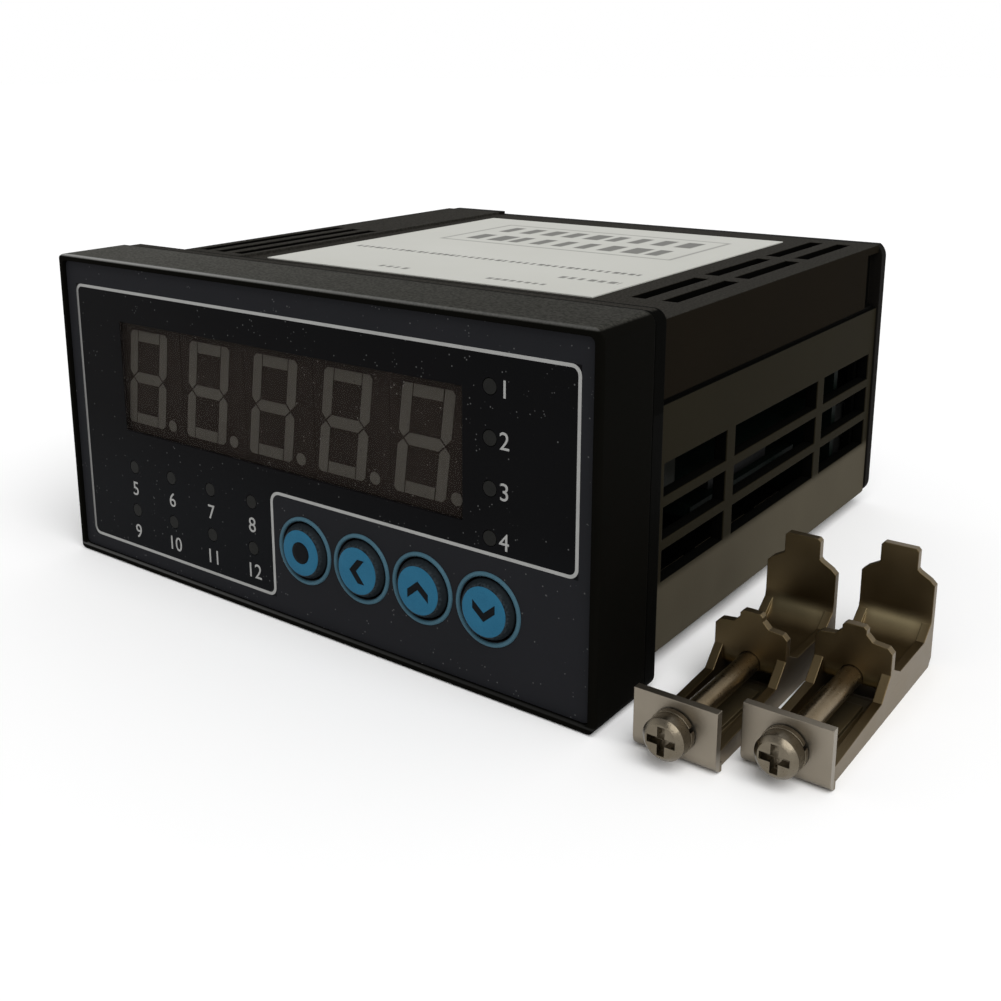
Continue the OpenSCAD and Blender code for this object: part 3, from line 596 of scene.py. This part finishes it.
def cover_finish():
    material, point = new_finish("cover_plastic")
    cloud = noise(point, 12 * MM)
    # In front of COVER_FRONT the cover sits inside the case, and its near-black there is painted shade.
    plate = point.part("Y").over(COVER_FRONT - COVER_SOFT, COVER_SOFT)
    close_material(point, {
        "Base Color": plate.mix(tone(5, 5, 4), cloud.mix(tone(16, 15, 13), tone(22, 20, 18))),
        "Roughness": 0.5 + cloud * 0.12,
        "Specular IOR Level": 0.006,
        "Normal": bumped(noise(point, 0.2 * MM, 3), 0.012 * MM, 0.3 * MM),
    })
    return material


dress(case_finish(), "housing")
dress(cover_finish(), "rear_cover")

# %% [markdown]
# ## Top label
# A white paper label lies in the recess on top. Its print is only hinted at, in grey fields: a framed
# block with two rows of short bars towards the back, one fine dashed row across, and a few small
# marks near the front edge. Rows of bars are a repeating count, so they are worked out from the
# place on the label instead of being drawn one by one.

# %% Rows of bars
BAR_START = 0.12
BAR_END = 0.55
BAR_SPREAD = 0.35
BAR_SOFT = 0.06
ROW_SOFT = 0.1 * MM


def bars(across, along, start, end, pitch, low, high):
    """A row of bars of uneven width between start and end, each in its own cell of the row."""
    cell = (across - start) / pitch
    number = cell.math("FLOOR", cell)
    width = cell.node("ShaderNodeTexWhiteNoise", {"noise_dimensions": "1D"}, {"W": number + low / MM})
    begun = (cell - number).over(BAR_START, BAR_SOFT)
    ended = (cell - number - width * BAR_SPREAD).over(BAR_END, BAR_SOFT)
    return begun * (1 - ended) * in_box(across, along, (start, low), (end, high), ROW_SOFT)


bar_widths = [round(BAR_END - BAR_START + spread, 2) for spread in (0, BAR_SPREAD)]
print("bars: from", bar_widths[0], "to", bar_widths[1], "of a cell wide")

# %% Top label
RULE_LOW = (9 * MM, 33 * MM)
RULE_HIGH = (54 * MM, 55 * MM)
RULE_WIDTH = 0.6 * MM
RULE_SOFT = 0.3 * MM
RULE_SHARE = 0.6
# In millimetres: start and end across, pitch, low and high edge along; then the strength of the print.
LABEL_ROWS = (
    (12, 52, 4.4, 46, 52, 0.9),
    (12, 52, 4.4, 36, 42, 0.9),
    (3, 57, 1.3, 17.6, 19, 0.9),
    (48, 58, 1.6, 10, 11.6, 0.8),
    (40, 50, 1.3, 3.6, 4.8, 0.8),
    (20, 26, 1.5, 3.4, 4.8, 0.8),
)


def label_print(across, along):
    """A mask of all the print: the ruled frame and the rows of bars."""
    inner_low = [edge + RULE_WIDTH for edge in RULE_LOW]
    inner_high = [edge - RULE_WIDTH for edge in RULE_HIGH]
    outer = in_box(across, along, RULE_LOW, RULE_HIGH, RULE_SOFT)
    inner = in_box(across, along, inner_low, inner_high, RULE_SOFT)
    printed = outer * (1 - inner) * RULE_SHARE
    for *sizes, share in LABEL_ROWS:
        printed = printed + bars(across, along, *[size * MM for size in sizes]) * share
    return across.math("MINIMUM", printed, 1.0)


def label_paper():
    material, point = new_finish("label_paper")
    printed = label_print(point.part("X") - recess.x, point.part("Y") - recess.y)
    cloud = noise(point, 20 * MM)
    fibre = noise(point, 0.12 * MM, 3)
    paper = cloud.mix(tone(183, 183, 176), tone(192, 192, 186))
    close_material(point, {
        "Base Color": printed.mix(paper, tone(96, 96, 92)),
        "Roughness": 0.55 + fibre * 0.15,
        "Specular IOR Level": 0.15,
        "Normal": bumped(fibre, 0.006 * MM),
    })
    return material


dress(label_paper(), "top_label")

# %% [markdown]
# ## Clamps and their screws
# The clamps are pressed from sheet and plated in dull nickel. Such metal is dark where it mirrors
# itself and bright where it mirrors the table, and that contrast makes it look bent. The end plate,
# which the screw's head rubs, is brighter than the browned channel behind it, so the depth decides
# between two tones. The strip below the screw is paler, and the bends at the foot of both hooks carry
# a painted sheen: a paler tone that stands in for their reflection. Fine rolling marks run along the
# sheet. The screws are treated the same way: a brighter head, and a browned rod.

# %% Clamp metal
PLATE_SHEET = 1.1 * MM
PLATE_FADE = 0.15 * MM
STRIP_HALF = 2.4 * MM
STRIP_END = 20 * MM
STRIP_TOP = 1.9 * MM
ROLLING_STRETCH = (1, 0.12, 1)
SHEEN_FADE = 0.9 * MM
# A bend with a painted sheen: its low and high corner along and up, half its width, the fade of its sides,
# its share.
MIDDLE_BEND_SHEEN = ((18.6 * MM, 2.2 * MM), (21.6 * MM, 4.4 * MM), 3.2 * MM, 0.2 * MM, 0.6)
REAR_BEND_SHEEN = ((31.5 * MM, 4.9 * MM), (36.5 * MM, 6.5 * MM), 3.4 * MM, 1.2 * MM, 0.5)


def rolling_marks(point):
    """Noise drawn out along the sheet, as rolling and pressing leave it."""
    drawn = point.node("ShaderNodeMapping", None, {"Vector": point, "Scale": ROLLING_STRETCH})
    return noise(drawn, 0.25 * MM, 3)


def clamp_metal(name, low, high):
    """Plated sheet: bright on the end plate, browned behind it, paler on the strip, with a painted sheen on
    the bends.
    """
    middle = (low.x + high.x) / 2
    material, point = new_finish(name)
    x, y, z = (point.part(axis) for axis in "XYZ")
    streak = rolling_marks(point)
    cloud = noise(point, 5 * MM, 3)
    behind = y.over(low.y + PLATE_SHEET, PLATE_FADE)
    bright = cloud.mix(tone(126, 118, 105), tone(144, 136, 123))
    browned = cloud.mix(tone(95, 81, 56), tone(111, 97, 72))
    strip = in_box(x, y, (middle - STRIP_HALF, low.y), (middle + STRIP_HALF, low.y + STRIP_END))
    strip = strip * (1 - z.over(low.z + STRIP_TOP))
    # Painted sheen: a paler tone on the bends at the foot of the hooks, standing in for a reflection.
    for bend_low, bend_high, half, side_fade, share in (MIDDLE_BEND_SHEEN, REAR_BEND_SHEEN):
        painted_sheen = in_box(y - low.y, z - low.z, bend_low, bend_high, SHEEN_FADE)
        painted_sheen = painted_sheen * (1 - abs(x - middle).over(half, side_fade))
        browned = (painted_sheen * share).mix(browned, tone(168, 156, 122))
    close_material(point, {
        "Base Color": behind.mix(bright, strip.mix(browned, tone(126, 114, 88))),
        "Metallic": 1.0,
        "Roughness": 0.3 + cloud * 0.1 + streak * 0.06,
        "Normal": bumped(streak, 0.006 * MM, 0.14 * MM),
    })
    return material


clamp_boxes = {i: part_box(f"clamp_body_{i}") for i in (1, 2)}
clamp_plating = {i: clamp_metal(f"clamp_metal_{i}", *box) for i, box in clamp_boxes.items()}
for i, material in clamp_plating.items():
    dress(material, f"clamp_body_{i}")


# %% Screw metal
def screw_metal(name, plate_front):
    """Plated screw: a bright head in front of the end plate and a browned rod behind it."""
    material, point = new_finish(name)
    cloud = noise(point, 1.4 * MM, 3)
    mark = noise(point, 0.35 * MM, 3)
    rod = point.part("Y").over(plate_front, 0.1 * MM)
    head = cloud.mix(tone(98, 90, 76), tone(124, 116, 102))
    close_material(point, {
        "Base Color": rod.mix(head, cloud.mix(tone(114, 100, 77), tone(132, 118, 96))),
        "Metallic": 1.0,
        "Roughness": 0.2 + mark * 0.2,
        "Normal": bumped(mark, 0.02 * MM, 0.12 * MM),
    })
    return material


screw_plating = {i: screw_metal(f"screw_metal_{i}", box[0].y) for i, box in clamp_boxes.items()}
for i, material in screw_plating.items():
    dress(material, f"clamp_screw_{i}", f"clamp_washer_{i}")

# %% [markdown]
# ## Inside and at the back
# Through the slots one sees a pale board edge and dark parts behind it; at the back there are two
# rows of screw terminals. These pieces are small in the picture, but a viewer who turns the part
# sees them, so each gets a finish of its own: solder mask with copper tracks, moulded plastic,
# varnished iron, shrink sleeve and plated steel.

# %% Boards
BARE_EDGE_X = 41.1 * MM
BARE_EDGE_Y = (-4 * MM, 67 * MM)
TRACKS = {"Scale": 260.0, "Mortar Size": 0.03, "Brick Width": 1.4, "Row Height": 0.35}


def board_finish():
    material, point = new_finish("circuit_board")
    x, y = (point.part(axis) for axis in "XY")
    grid = point.node("ShaderNodeTexBrick", {"offset": 0.5}, {"Vector": point, **TRACKS}, "Fac")
    fibre = noise(point, 0.6 * MM, 3)
    mask_green = fibre.mix(tone(6, 11, 9), tone(9, 15, 12))
    bare_edge = in_box(abs(x), y, (BARE_EDGE_X, BARE_EDGE_Y[0]), (FAR, BARE_EDGE_Y[1]))
    close_material(point, {
        "Base Color": bare_edge.mix((grid * 0.6).mix(mask_green, tone(15, 25, 19)), tone(84, 80, 64)),
        "Roughness": 0.4 + fibre * 0.15,
        "Specular IOR Level": 0.02,
        "Normal": bumped(grid, 0.03 * MM, 0.08 * MM),
    })
    return material


dress(board_finish(), "display_board", "main_board", "adc_board", "terminal_board")


# %% Moulded components
def moulded(name, dark, light, roughness):
    """Moulded plastic: two close tones, a fine grain and soft edges."""
    material, point = new_finish(name)
    cloud = noise(point, 5 * MM)
    close_material(point, {
        "Base Color": cloud.mix(dark, light),
        "Roughness": roughness + cloud * 0.12,
        "Specular IOR Level": 0.03,
        "Normal": bumped(noise(point, 0.2 * MM, 3), 0.01 * MM, 0.15 * MM),
    })
    return material


dress(moulded("component_black", tone(18, 18, 18), tone(26, 26, 26), 0.45),
      "tactile_switches", "board_headers", "ic_packages")
dress(moulded("relay_case", tone(20, 21, 18), tone(27, 28, 24), 0.4), "relays")
dress(moulded("capacitor_sleeve", tone(20, 22, 38), tone(30, 33, 52), 0.25), "capacitors")
dress(moulded("terminal_plastic", tone(20, 20, 19), tone(27, 27, 26), 0.5),
      "upper_terminal_block", "lower_terminal_block")

# %% Iron and plated steel
IRON_SHEETS = {"Scale": 320.0, "Distortion": 0.6}


def transformer_iron():
    material, point = new_finish("transformer_core")
    sheets = point.node("ShaderNodeTexWave", {"bands_direction": "Y"}, {"Vector": point, **IRON_SHEETS})
    close_material(point, {
        "Base Color": sheets.mix(tone(58, 52, 44), tone(92, 86, 76)),
        "Roughness": 0.45 + sheets * 0.15,
        "Metallic": 0.35,
        "Normal": bumped(sheets, 0.03 * MM, 0.2 * MM),
    })
    return material


def zinc_plate():
    material, point = new_finish("bright_metal")
    cloud = noise(point, 1.5 * MM, 3)
    close_material(point, {
        "Base Color": cloud.mix(tone(176, 176, 170), tone(206, 206, 200)),
        "Metallic": 1.0,
        "Roughness": 0.24 + cloud * 0.18,
        "Normal": bumped(noise(point, 0.3 * MM, 3), 0.01 * MM, 0.12 * MM),
    })
    return material


dress(transformer_iron(), "transformer")
dress(zinc_plate(), "board_screws", "terminal_screws", "terminal_washers")

# %% [markdown]
# ## Modelling flat things that stand on the front
# The ink, the key faces and their signs are all thin and face the viewer. They are easiest to model
# lying flat, as on a drawing board: x to the right, y up and z towards the viewer. One helper then
# stands a finished piece up on the front, at its place, and bakes that place into the mesh, so that
# the object itself sits at the origin.

# %% Work on the drawing board
def apply_place():
    """Bakes the place, turn and scale of the selected piece into its mesh."""
    bpy.ops.object.transform_apply(location=True, rotation=True, scale=True)


def flat_sheet(width, tall, place=(0, 0, 0)):
    """A flat rectangle of the given size about a place on the drawing board."""
    sheet = begin(bpy.ops.mesh.primitive_plane_add, size=1, location=place)
    sheet.scale = (width, tall, 1)
    apply_place()
    return sheet


def open_mesh():
    """Goes into edit mode with everything selected."""
    bpy.ops.object.mode_set(mode="EDIT")
    bpy.ops.mesh.select_all(action="SELECT")


def pick(piece, test, part="FACE"):
    """In edit mode, selects only the faces, edges or vertices for which the test on them is true."""
    bpy.ops.mesh.select_all(action="DESELECT")
    bpy.ops.mesh.select_mode(type=part)
    bpy.ops.object.mode_set(mode="OBJECT")
    mesh = piece.data
    for item in {"FACE": mesh.polygons, "EDGE": mesh.edges, "VERT": mesh.vertices}[part]:
        item.select = test(item)
    bpy.ops.object.mode_set(mode="EDIT")


def lift(height):
    """In edit mode, extrudes what is selected towards the viewer."""
    bpy.ops.mesh.extrude_region_move(TRANSFORM_OT_translate={"value": (0, 0, height)})


def face_outwards():
    """In edit mode, turns all faces outwards."""
    bpy.ops.mesh.select_all(action="SELECT")
    bpy.ops.mesh.normals_make_consistent(inside=False)


def close_mesh(smooth_angle=None):
    """Goes back to object mode and, if an angle is given, smooths the edges that are flatter."""
    bpy.ops.object.mode_set(mode="OBJECT")
    if smooth_angle:
        bpy.ops.object.shade_smooth_by_angle(angle=math.radians(smooth_angle))


print("drawing board:", round((LINE_RIGHT - LINE_LEFT) / MM, 1), "mm wide for the print on the front")

# %% Stand a flat piece up on the front
STAND_UP = Matrix.Rotation(math.radians(90), 4, "X")


def settle(piece, place, turn=0.0, standing=True):
    """Turns a flat piece in its plane, stands it up, moves it to its place and applies all that."""
    upright = STAND_UP if standing else Matrix.Identity(4)
    piece.matrix_world = Matrix.Translation(place) @ upright @ Matrix.Rotation(turn, 4, "Z")
    bpy.ops.object.select_all(action="DESELECT")
    piece.select_set(True)
    bpy.context.view_layer.objects.active = piece
    apply_place()


def keep(piece, name, material, body="indicator"):
    """Names a finished piece, gives it its finish and lets it ride on its body."""
    piece.name = name
    piece.data.name = name
    piece.data.materials.clear()
    piece.data.materials.append(material)
    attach(piece, body)
    print(name, "has", len(piece.data.polygons), "faces on", body)


print("standing up turns z of the board to", [round(part) for part in STAND_UP @ Vector((0, 0, 1))])

# %% [markdown]
# ## The white line
# A thin white line runs round the display and the lights and steps up over the keys. It could be a
# curve with a thickness, but a flat sheet is quicker: bisect a rectangle where the line steps, delete
# the corner for the keys, round the corners with a vertex bevel, inset the outline by the width of
# the line and keep only the rim. A mask dims the ink on its left leg.

# %% White ink
LINE_WIDTH = 0.43 * MM
INK = 0.03 * MM


def white_ink():
    material, point = new_finish("white_ink")
    cloud = noise(point, 2.5 * MM, 3)
    full = point.part("X").over(LINE_LEFT + LINE_WIDTH, 0.4 * MM)
    thin = cloud.mix(tone(92, 92, 91), tone(108, 108, 106))
    white = cloud.mix(tone(138, 138, 136), tone(156, 156, 154))
    close_material(point, {
        "Base Color": full.mix(thin, white),
        "Roughness": 0.5 + cloud * 0.2,
        "Specular IOR Level": 0.15,
    })
    return material


ink = white_ink()
print("ink:", ink.name, "on a line", round(LINE_WIDTH / MM, 2), "mm wide")

# %% White line
LINE_CORNER = 1.3 * MM
LINE_CORNER_STEPS = 8
FLAT_ANGLE = math.radians(1)
LINE_CUTS = (((LINE_STEP_X, 0, 0), (1, 0, 0)), ((0, LINE_STEP_Z, 0), (0, 1, 0)))


def white_line():
    middle = Vector(((LINE_LEFT + LINE_RIGHT) / 2, (LINE_TOP + LINE_BOTTOM) / 2, 0))
    line = flat_sheet(LINE_RIGHT - LINE_LEFT, LINE_TOP - LINE_BOTTOM, middle)
    bpy.ops.object.mode_set(mode="EDIT")
    for cut_place, cut_normal in LINE_CUTS:
        bpy.ops.mesh.select_all(action="SELECT")
        bpy.ops.mesh.bisect(plane_co=cut_place, plane_no=cut_normal)
    pick(line, lambda face: face.center.x > LINE_STEP_X and face.center.y < LINE_STEP_Z)
    bpy.ops.mesh.delete(type="FACE")
    bpy.ops.mesh.select_all(action="SELECT")
    bpy.ops.mesh.dissolve_limited(angle_limit=FLAT_ANGLE)
    bpy.ops.mesh.select_all(action="SELECT")
    bpy.ops.mesh.bevel(offset=LINE_CORNER, segments=LINE_CORNER_STEPS, affect="VERTICES")
    pick(line, lambda face: True)
    bpy.ops.mesh.inset(thickness=LINE_WIDTH)
    bpy.ops.mesh.delete(type="FACE")
    bpy.ops.mesh.select_all(action="SELECT")
    lift(INK)
    face_outwards()
    close_mesh()
    settle(line, Vector((0, film_front, 0)))
    return line


keep(white_line(), "white_line", ink)

# %% [markdown]
# ## Plain numbers beside the lights
# Each of the twelve lights has a mark beside it. Here these are plain numbers: 1 to 4 beside the
# column at the right, 5 to 12 below the two rows at the left. Text objects give clean figures. They
# are made meshes, because ink is a thin layer and not a curve, and joined into one printed piece.

# %% Figures
def figure(words, size, thickness):
    """Figures as a flat mesh of the given thickness, with their foot's middle at the origin."""
    piece = begin(bpy.ops.object.text_add)
    piece.data.body = words
    piece.data.size = size
    piece.data.align_x = "CENTER"
    bpy.ops.object.convert(target="MESH")
    open_mesh()
    bpy.ops.mesh.dissolve_limited(angle_limit=FLAT_ANGLE)
    lift(thickness)
    face_outwards()
    close_mesh()
    return piece


def join(pieces):
    """Makes one object of several."""
    bpy.ops.object.select_all(action="DESELECT")
    for piece in pieces:
        piece.select_set(True)
    bpy.context.view_layer.objects.active = pieces[0]
    bpy.ops.object.join()
    return pieces[0]


print("figures: stand", round(INK / MM, 2), "mm proud")

# %% Plain numbers
NUMBER_SIZE = 3.1 * MM
NUMBER_AXIS = 1.1 * MM
COLUMN_GAP = 2.1 * MM
ROW_GAP = 3.35 * MM
LIGHT_SLEEVE = 1.45 * MM
COLUMN_PITCH = 6.2 * MM
ROW_PITCH = 8.5 * MM
ROW_DROP = 6.9 * MM
light_low, light_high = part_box("status_leds")


def number_places():
    """Where the middle of each number's foot goes on the front, from 1 to 12."""
    column_x = light_high.x - LIGHT_SLEEVE + COLUMN_GAP
    column_z = light_high.z - LIGHT_SLEEVE - NUMBER_AXIS
    row_x = light_low.x + LIGHT_SLEEVE
    row_z = light_low.z + LIGHT_SLEEVE + ROW_DROP - ROW_GAP - NUMBER_AXIS
    column = [(column_x, column_z - i * COLUMN_PITCH) for i in range(4)]
    rows = [(row_x + i * ROW_PITCH, row_z - row * ROW_DROP) for row in range(2) for i in range(4)]
    return column + rows


printed = []
for number, (across, up) in enumerate(number_places(), start=1):
    piece = figure(str(number), NUMBER_SIZE, INK)
    settle(piece, Vector((across, film_front, up)))
    printed.append(piece)
keep(join(printed), "light_numbers", ink)

# %% [markdown]
# ## Keys
# A key is a raised round cap with a sloping edge painted darker as shade, a flat blue face and a black
# sign, and a light blue bead runs round its foot. The cap is a CAD solid, because it travels. The face,
# the sign and the bead are thin and round-edged, so they are modelled here: the face and the dot from a
# filled circle that is extruded, inset and bevelled, the bead from a torus whose lower half is cut away.

# %% Key caps and blue ink
KEYS = ("key_menu", "key_left", "key_up", "key_down")
CAP_SLOPE = 0.3 * MM
key_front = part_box(KEYS[0])[0].y


def key_cap_finish():
    material, point = new_finish("key_cap")
    grain = noise(point, 0.3 * MM, 3)
    # The sloping side gets a darker tone: painted shade.
    shaded_slope = point.part("Y").over(key_front + CAP_SLOPE, 0.2 * MM)
    flat = grain.over(0.5, 0.2).mix(tone(22, 27, 30), tone(46, 52, 56))
    close_material(point, {
        "Base Color": shaded_slope.mix(flat, grain.mix(tone(20, 24, 27), tone(32, 37, 40))),
        "Roughness": 0.45 + grain * 0.15,
        "Specular IOR Level": 0.02,
        "Normal": bumped(grain, 0.02 * MM, 0.12 * MM),
    })
    return material


def blue_print(name, dark, light):
    """Blue ink with the fine unevenness of screen printing."""
    material, point = new_finish(name)
    weave = noise(point, 0.2 * MM)
    cloud = noise(point, 2.5 * MM)
    close_material(point, {
        "Base Color": (weave * 0.6 + cloud * 0.4).mix(dark, light),
        "Roughness": 0.42 + weave * 0.15,
        "Specular IOR Level": 0.08,
        "Normal": bumped(weave, 0.006 * MM),
    })
    return material


dress(key_cap_finish(), *KEYS)
face_blue = blue_print("key_face_blue", tone(20, 75, 102), tone(42, 102, 130))
bead_blue = blue_print("key_bead_blue", tone(46, 74, 86), tone(70, 102, 116))

# %% Round plates and beads
PLATE_CORNERS = 72
RIM_HIGH = 0.9
RIM_OUT = 0.98
CROWN_INSET = 0.3
CROWN_RISE = 0.3
BEAD_MIDDLE = 4.5 * MM
BEAD_RADIUS = 0.29 * MM


def rim_bevel(piece, radius, offset):
    """Rounds the front rim of a flat round piece."""
    top = max(corner.co.z for corner in piece.data.vertices)

    def on_rim(edge):
        ends = [piece.data.vertices[i].co for i in edge.vertices]
        return all(end.z > top * RIM_HIGH and end.xy.length > radius * RIM_OUT for end in ends)
    pick(piece, on_rim, "EDGE")
    bpy.ops.mesh.bevel(offset=offset, segments=3, affect="EDGES")


def round_plate(radius, thickness, rounding):
    """A round plate with a rounded front rim and a slightly crowned middle."""
    piece = begin(bpy.ops.mesh.primitive_circle_add, vertices=PLATE_CORNERS, radius=radius,
                  fill_type="NGON")
    open_mesh()
    lift(thickness)
    rim_bevel(piece, radius, rounding)
    pick(piece, lambda face: face.normal.z > 0.99 and face.area > radius * radius)
    bpy.ops.mesh.inset(thickness=radius * CROWN_INSET, depth=thickness * CROWN_RISE)
    face_outwards()
    close_mesh(30)
    return piece


def bead():
    """Half a torus, flat below."""
    piece = begin(bpy.ops.mesh.primitive_torus_add, major_radius=BEAD_MIDDLE, minor_radius=BEAD_RADIUS,
                  major_segments=96, minor_segments=16)
    open_mesh()
    bpy.ops.mesh.bisect(plane_co=(0, 0, 0), plane_no=(0, 0, 1), clear_inner=True, use_fill=True)
    face_outwards()
    close_mesh(40)
    return piece


print("beads:", round(2 * (BEAD_MIDDLE + BEAD_RADIUS) / MM, 2), "mm across")

# %% Key faces and beads
FACE_RADIUS = 3.2 * MM
FACE_THICKNESS = 0.03 * MM
FACE_ROUND = 0.02 * MM


def key_middle(key):
    """The middle of a key's front face."""
    low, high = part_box(key)
    return Vector(((low.x + high.x) / 2, low.y, (low.z + high.z) / 2))


for key in KEYS:
    face = round_plate(FACE_RADIUS, FACE_THICKNESS, FACE_ROUND)
    settle(face, key_middle(key))
    keep(face, key + "_face", face_blue, key)
    ring = bead()
    settle(ring, Vector((key_middle(key).x, film_front, key_middle(key).z)))
    keep(ring, key + "_bead", bead_blue)

# %% [markdown]
# ## Signs on the keys
# The first key has a dot and the others an arrowhead that points left, up or down. An arrowhead is two
# slanted bars that meet: one bar is a plane with an end pulled down, and extruding the other end
# gives the second bar. It is modelled pointing up, and each one is turned in its plane.

# %% Signs on the keys
DOT_RADIUS = 1.54 * MM
ARM_WIDTH = 1.65 * MM
ARM_DROP = 1.4 * MM
ARM_TALL = 1.15 * MM
SIGN_INK = 0.02 * MM
SIGN_ROUND = SIGN_INK * 0.6
SIGN_TURNS = {"key_left": math.radians(90), "key_up": 0.0, "key_down": math.radians(180)}


def arrowhead():
    """Two slanted bars that meet at the top, with the middle of the sign at the origin."""
    piece = flat_sheet(ARM_WIDTH, ARM_TALL, (-ARM_WIDTH / 2, ARM_DROP / 2, 0))
    bpy.ops.object.mode_set(mode="EDIT")
    pick(piece, lambda corner: corner.co.x < -ARM_WIDTH / 2, "VERT")
    bpy.ops.transform.translate(value=(0, -ARM_DROP, 0))
    pick(piece, lambda corner: corner.co.x > -ARM_WIDTH / 2, "VERT")
    bpy.ops.mesh.select_mode(type="EDGE")
    bpy.ops.mesh.extrude_region_move(TRANSFORM_OT_translate={"value": (ARM_WIDTH, -ARM_DROP, 0)})
    bpy.ops.mesh.select_all(action="SELECT")
    bpy.ops.mesh.select_mode(type="FACE")
    lift(SIGN_INK)
    face_outwards()
    close_mesh()
    return piece


sign_black = moulded("sign_ink", tone(11, 12, 14), tone(19, 21, 23), 0.4)
face_front = key_front - FACE_THICKNESS * (1 + CROWN_RISE)
for key in KEYS:
    turn = SIGN_TURNS.get(key)
    sign = round_plate(DOT_RADIUS, SIGN_INK, SIGN_ROUND) if turn is None else arrowhead()
    place = key_middle(key)
    settle(sign, Vector((place.x, face_front, place.z)), turn or 0.0)
    keep(sign, key + "_sign", sign_black, key)

# %% [markdown]
# ## Screw threads on the clamps
# A clamp screw is plain near its head and threaded where it runs in the hook. The solid is a smooth
# rod, since a helix is too fine for it. A Screw modifier turns one small three-cornered profile round
# the axis and moves it on by the pitch with each turn, which is just how a thread is cut.

# %% Screw threads
THREAD_PITCH = 0.5 * MM
THREAD_LENGTH = 2.5 * MM
THREAD_HEIGHT = 0.075 * MM
THREAD_HALF = 0.2 * MM
ROD_RADIUS = 1.335 * MM
THREAD_SINK = 0.02 * MM
THREAD_STEPS = 24
TIP_BARE = 0.3 * MM
PROFILE_TURN = Matrix(((0, 1, 0, 0), (0, 0, 1, 0), (1, 0, 0, 0), (0, 0, 0, 1)))
TRIANGLE_HEIGHT = 1.5
TRIANGLE_HALF = math.cos(math.radians(30))


def screw_thread():
    """A right-handed ridge that winds round the z axis and ends at the origin."""
    tall = (THREAD_HEIGHT + THREAD_SINK) / TRIANGLE_HEIGHT
    wide = THREAD_HALF / TRIANGLE_HALF
    piece = begin(bpy.ops.mesh.primitive_circle_add, vertices=3, radius=1)
    foot = Vector((ROD_RADIUS - THREAD_SINK + tall / 2, 0, -THREAD_LENGTH))
    piece.matrix_world = Matrix.Translation(foot) @ PROFILE_TURN @ Matrix.Diagonal((wide, tall, 1, 1))
    apply_place()
    winding = piece.modifiers.new("winding", "SCREW")
    winding.screw_offset = THREAD_PITCH
    winding.iterations = round(THREAD_LENGTH / THREAD_PITCH)
    winding.steps = THREAD_STEPS
    winding.render_steps = THREAD_STEPS
    bpy.ops.object.modifier_apply(modifier="winding")
    open_mesh()
    bpy.ops.mesh.remove_doubles(threshold=0.001 * MM)
    bpy.ops.mesh.fill_holes(sides=4)
    face_outwards()
    close_mesh(20)
    return piece


for i in (1, 2):
    screw = f"clamp_screw_{i}"
    low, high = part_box(screw)
    thread = screw_thread()
    settle(thread, Vector(((low.x + high.x) / 2, high.y - THREAD_LENGTH - TIP_BARE, (low.z + high.z) / 2)))
    keep(thread, f"clamp_thread_{i}", screw_plating[i], screw)

# %% [markdown]
# ## Shade sheet under the clamps
# Below the raised floor of a clamp a thin sheet of its metal lies on the table between the rails, as
# painted shade: one looks into a dark space under the middle hook and not at the lit table. It is thin
# and hardly seen, so a plane is stretched between the rails, extruded to its thickness and bevelled.

# %% Shade sheet under the clamps
SHADE_SHEET_HALF = 3.55 * MM
SHADE_SHEET_FRONT = 20.5 * MM
SHADE_SHEET_BACK = 34 * MM
SHADE_SHEET_THICKNESS = 0.4 * MM
SHADE_SHEET_RISE = 0.05 * MM
SHADE_SHEET_ROUND = 0.1 * MM


def folded_foot(low, high):
    """A thin sheet with rounded edges on the table, between the rails of one clamp, as painted shade."""
    piece = flat_sheet(2 * SHADE_SHEET_HALF, SHADE_SHEET_BACK - SHADE_SHEET_FRONT)
    open_mesh()
    lift(SHADE_SHEET_THICKNESS)
    face_outwards()
    bpy.ops.mesh.bevel(offset=SHADE_SHEET_ROUND, segments=2, affect="EDGES")
    close_mesh(30)
    middle = Vector(((low.x + high.x) / 2, low.y + (SHADE_SHEET_FRONT + SHADE_SHEET_BACK) / 2, low.z + SHADE_SHEET_RISE))
    settle(piece, middle, standing=False)
    return piece


for i, box in clamp_boxes.items():
    keep(folded_foot(*box), f"clamp_shade_sheet_{i}", clamp_plating[i])

# %% [markdown]
# ## Numbers at the terminals
# A wire goes to each of the twenty-two terminals at the back, so the rear cover counts them: 1 to 11
# above the upper row and 12 to 22 below the lower one. They are made like the numbers on the front,
# but face the other way, so the helper that places them turns them half round first.

# %% Numbers at the terminals
TERMINALS = 11
TERMINAL_PITCH = 7.5 * MM
TERMINAL_NUMBER_SIZE = 2.4 * MM
UPPER_FOOT = 17.0 * MM
LOWER_FOOT = -18.8 * MM
cover_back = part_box("rear_cover")[1].y


def terminal_number(number):
    """The place of one number on the rear cover, counted from the left as seen from behind."""
    row, column = divmod(number - 1, TERMINALS)
    across = ((TERMINALS - 1) / 2 - column) * TERMINAL_PITCH
    return Vector((across, cover_back, LOWER_FOOT if row else UPPER_FOOT))


counted = []
for number in range(1, 2 * TERMINALS + 1):
    piece = figure(str(number), TERMINAL_NUMBER_SIZE, INK)
    settle(piece, Vector())
    settle(piece, terminal_number(number), math.radians(180), standing=False)
    counted.append(piece)
keep(join(counted), "terminal_numbers", ink)
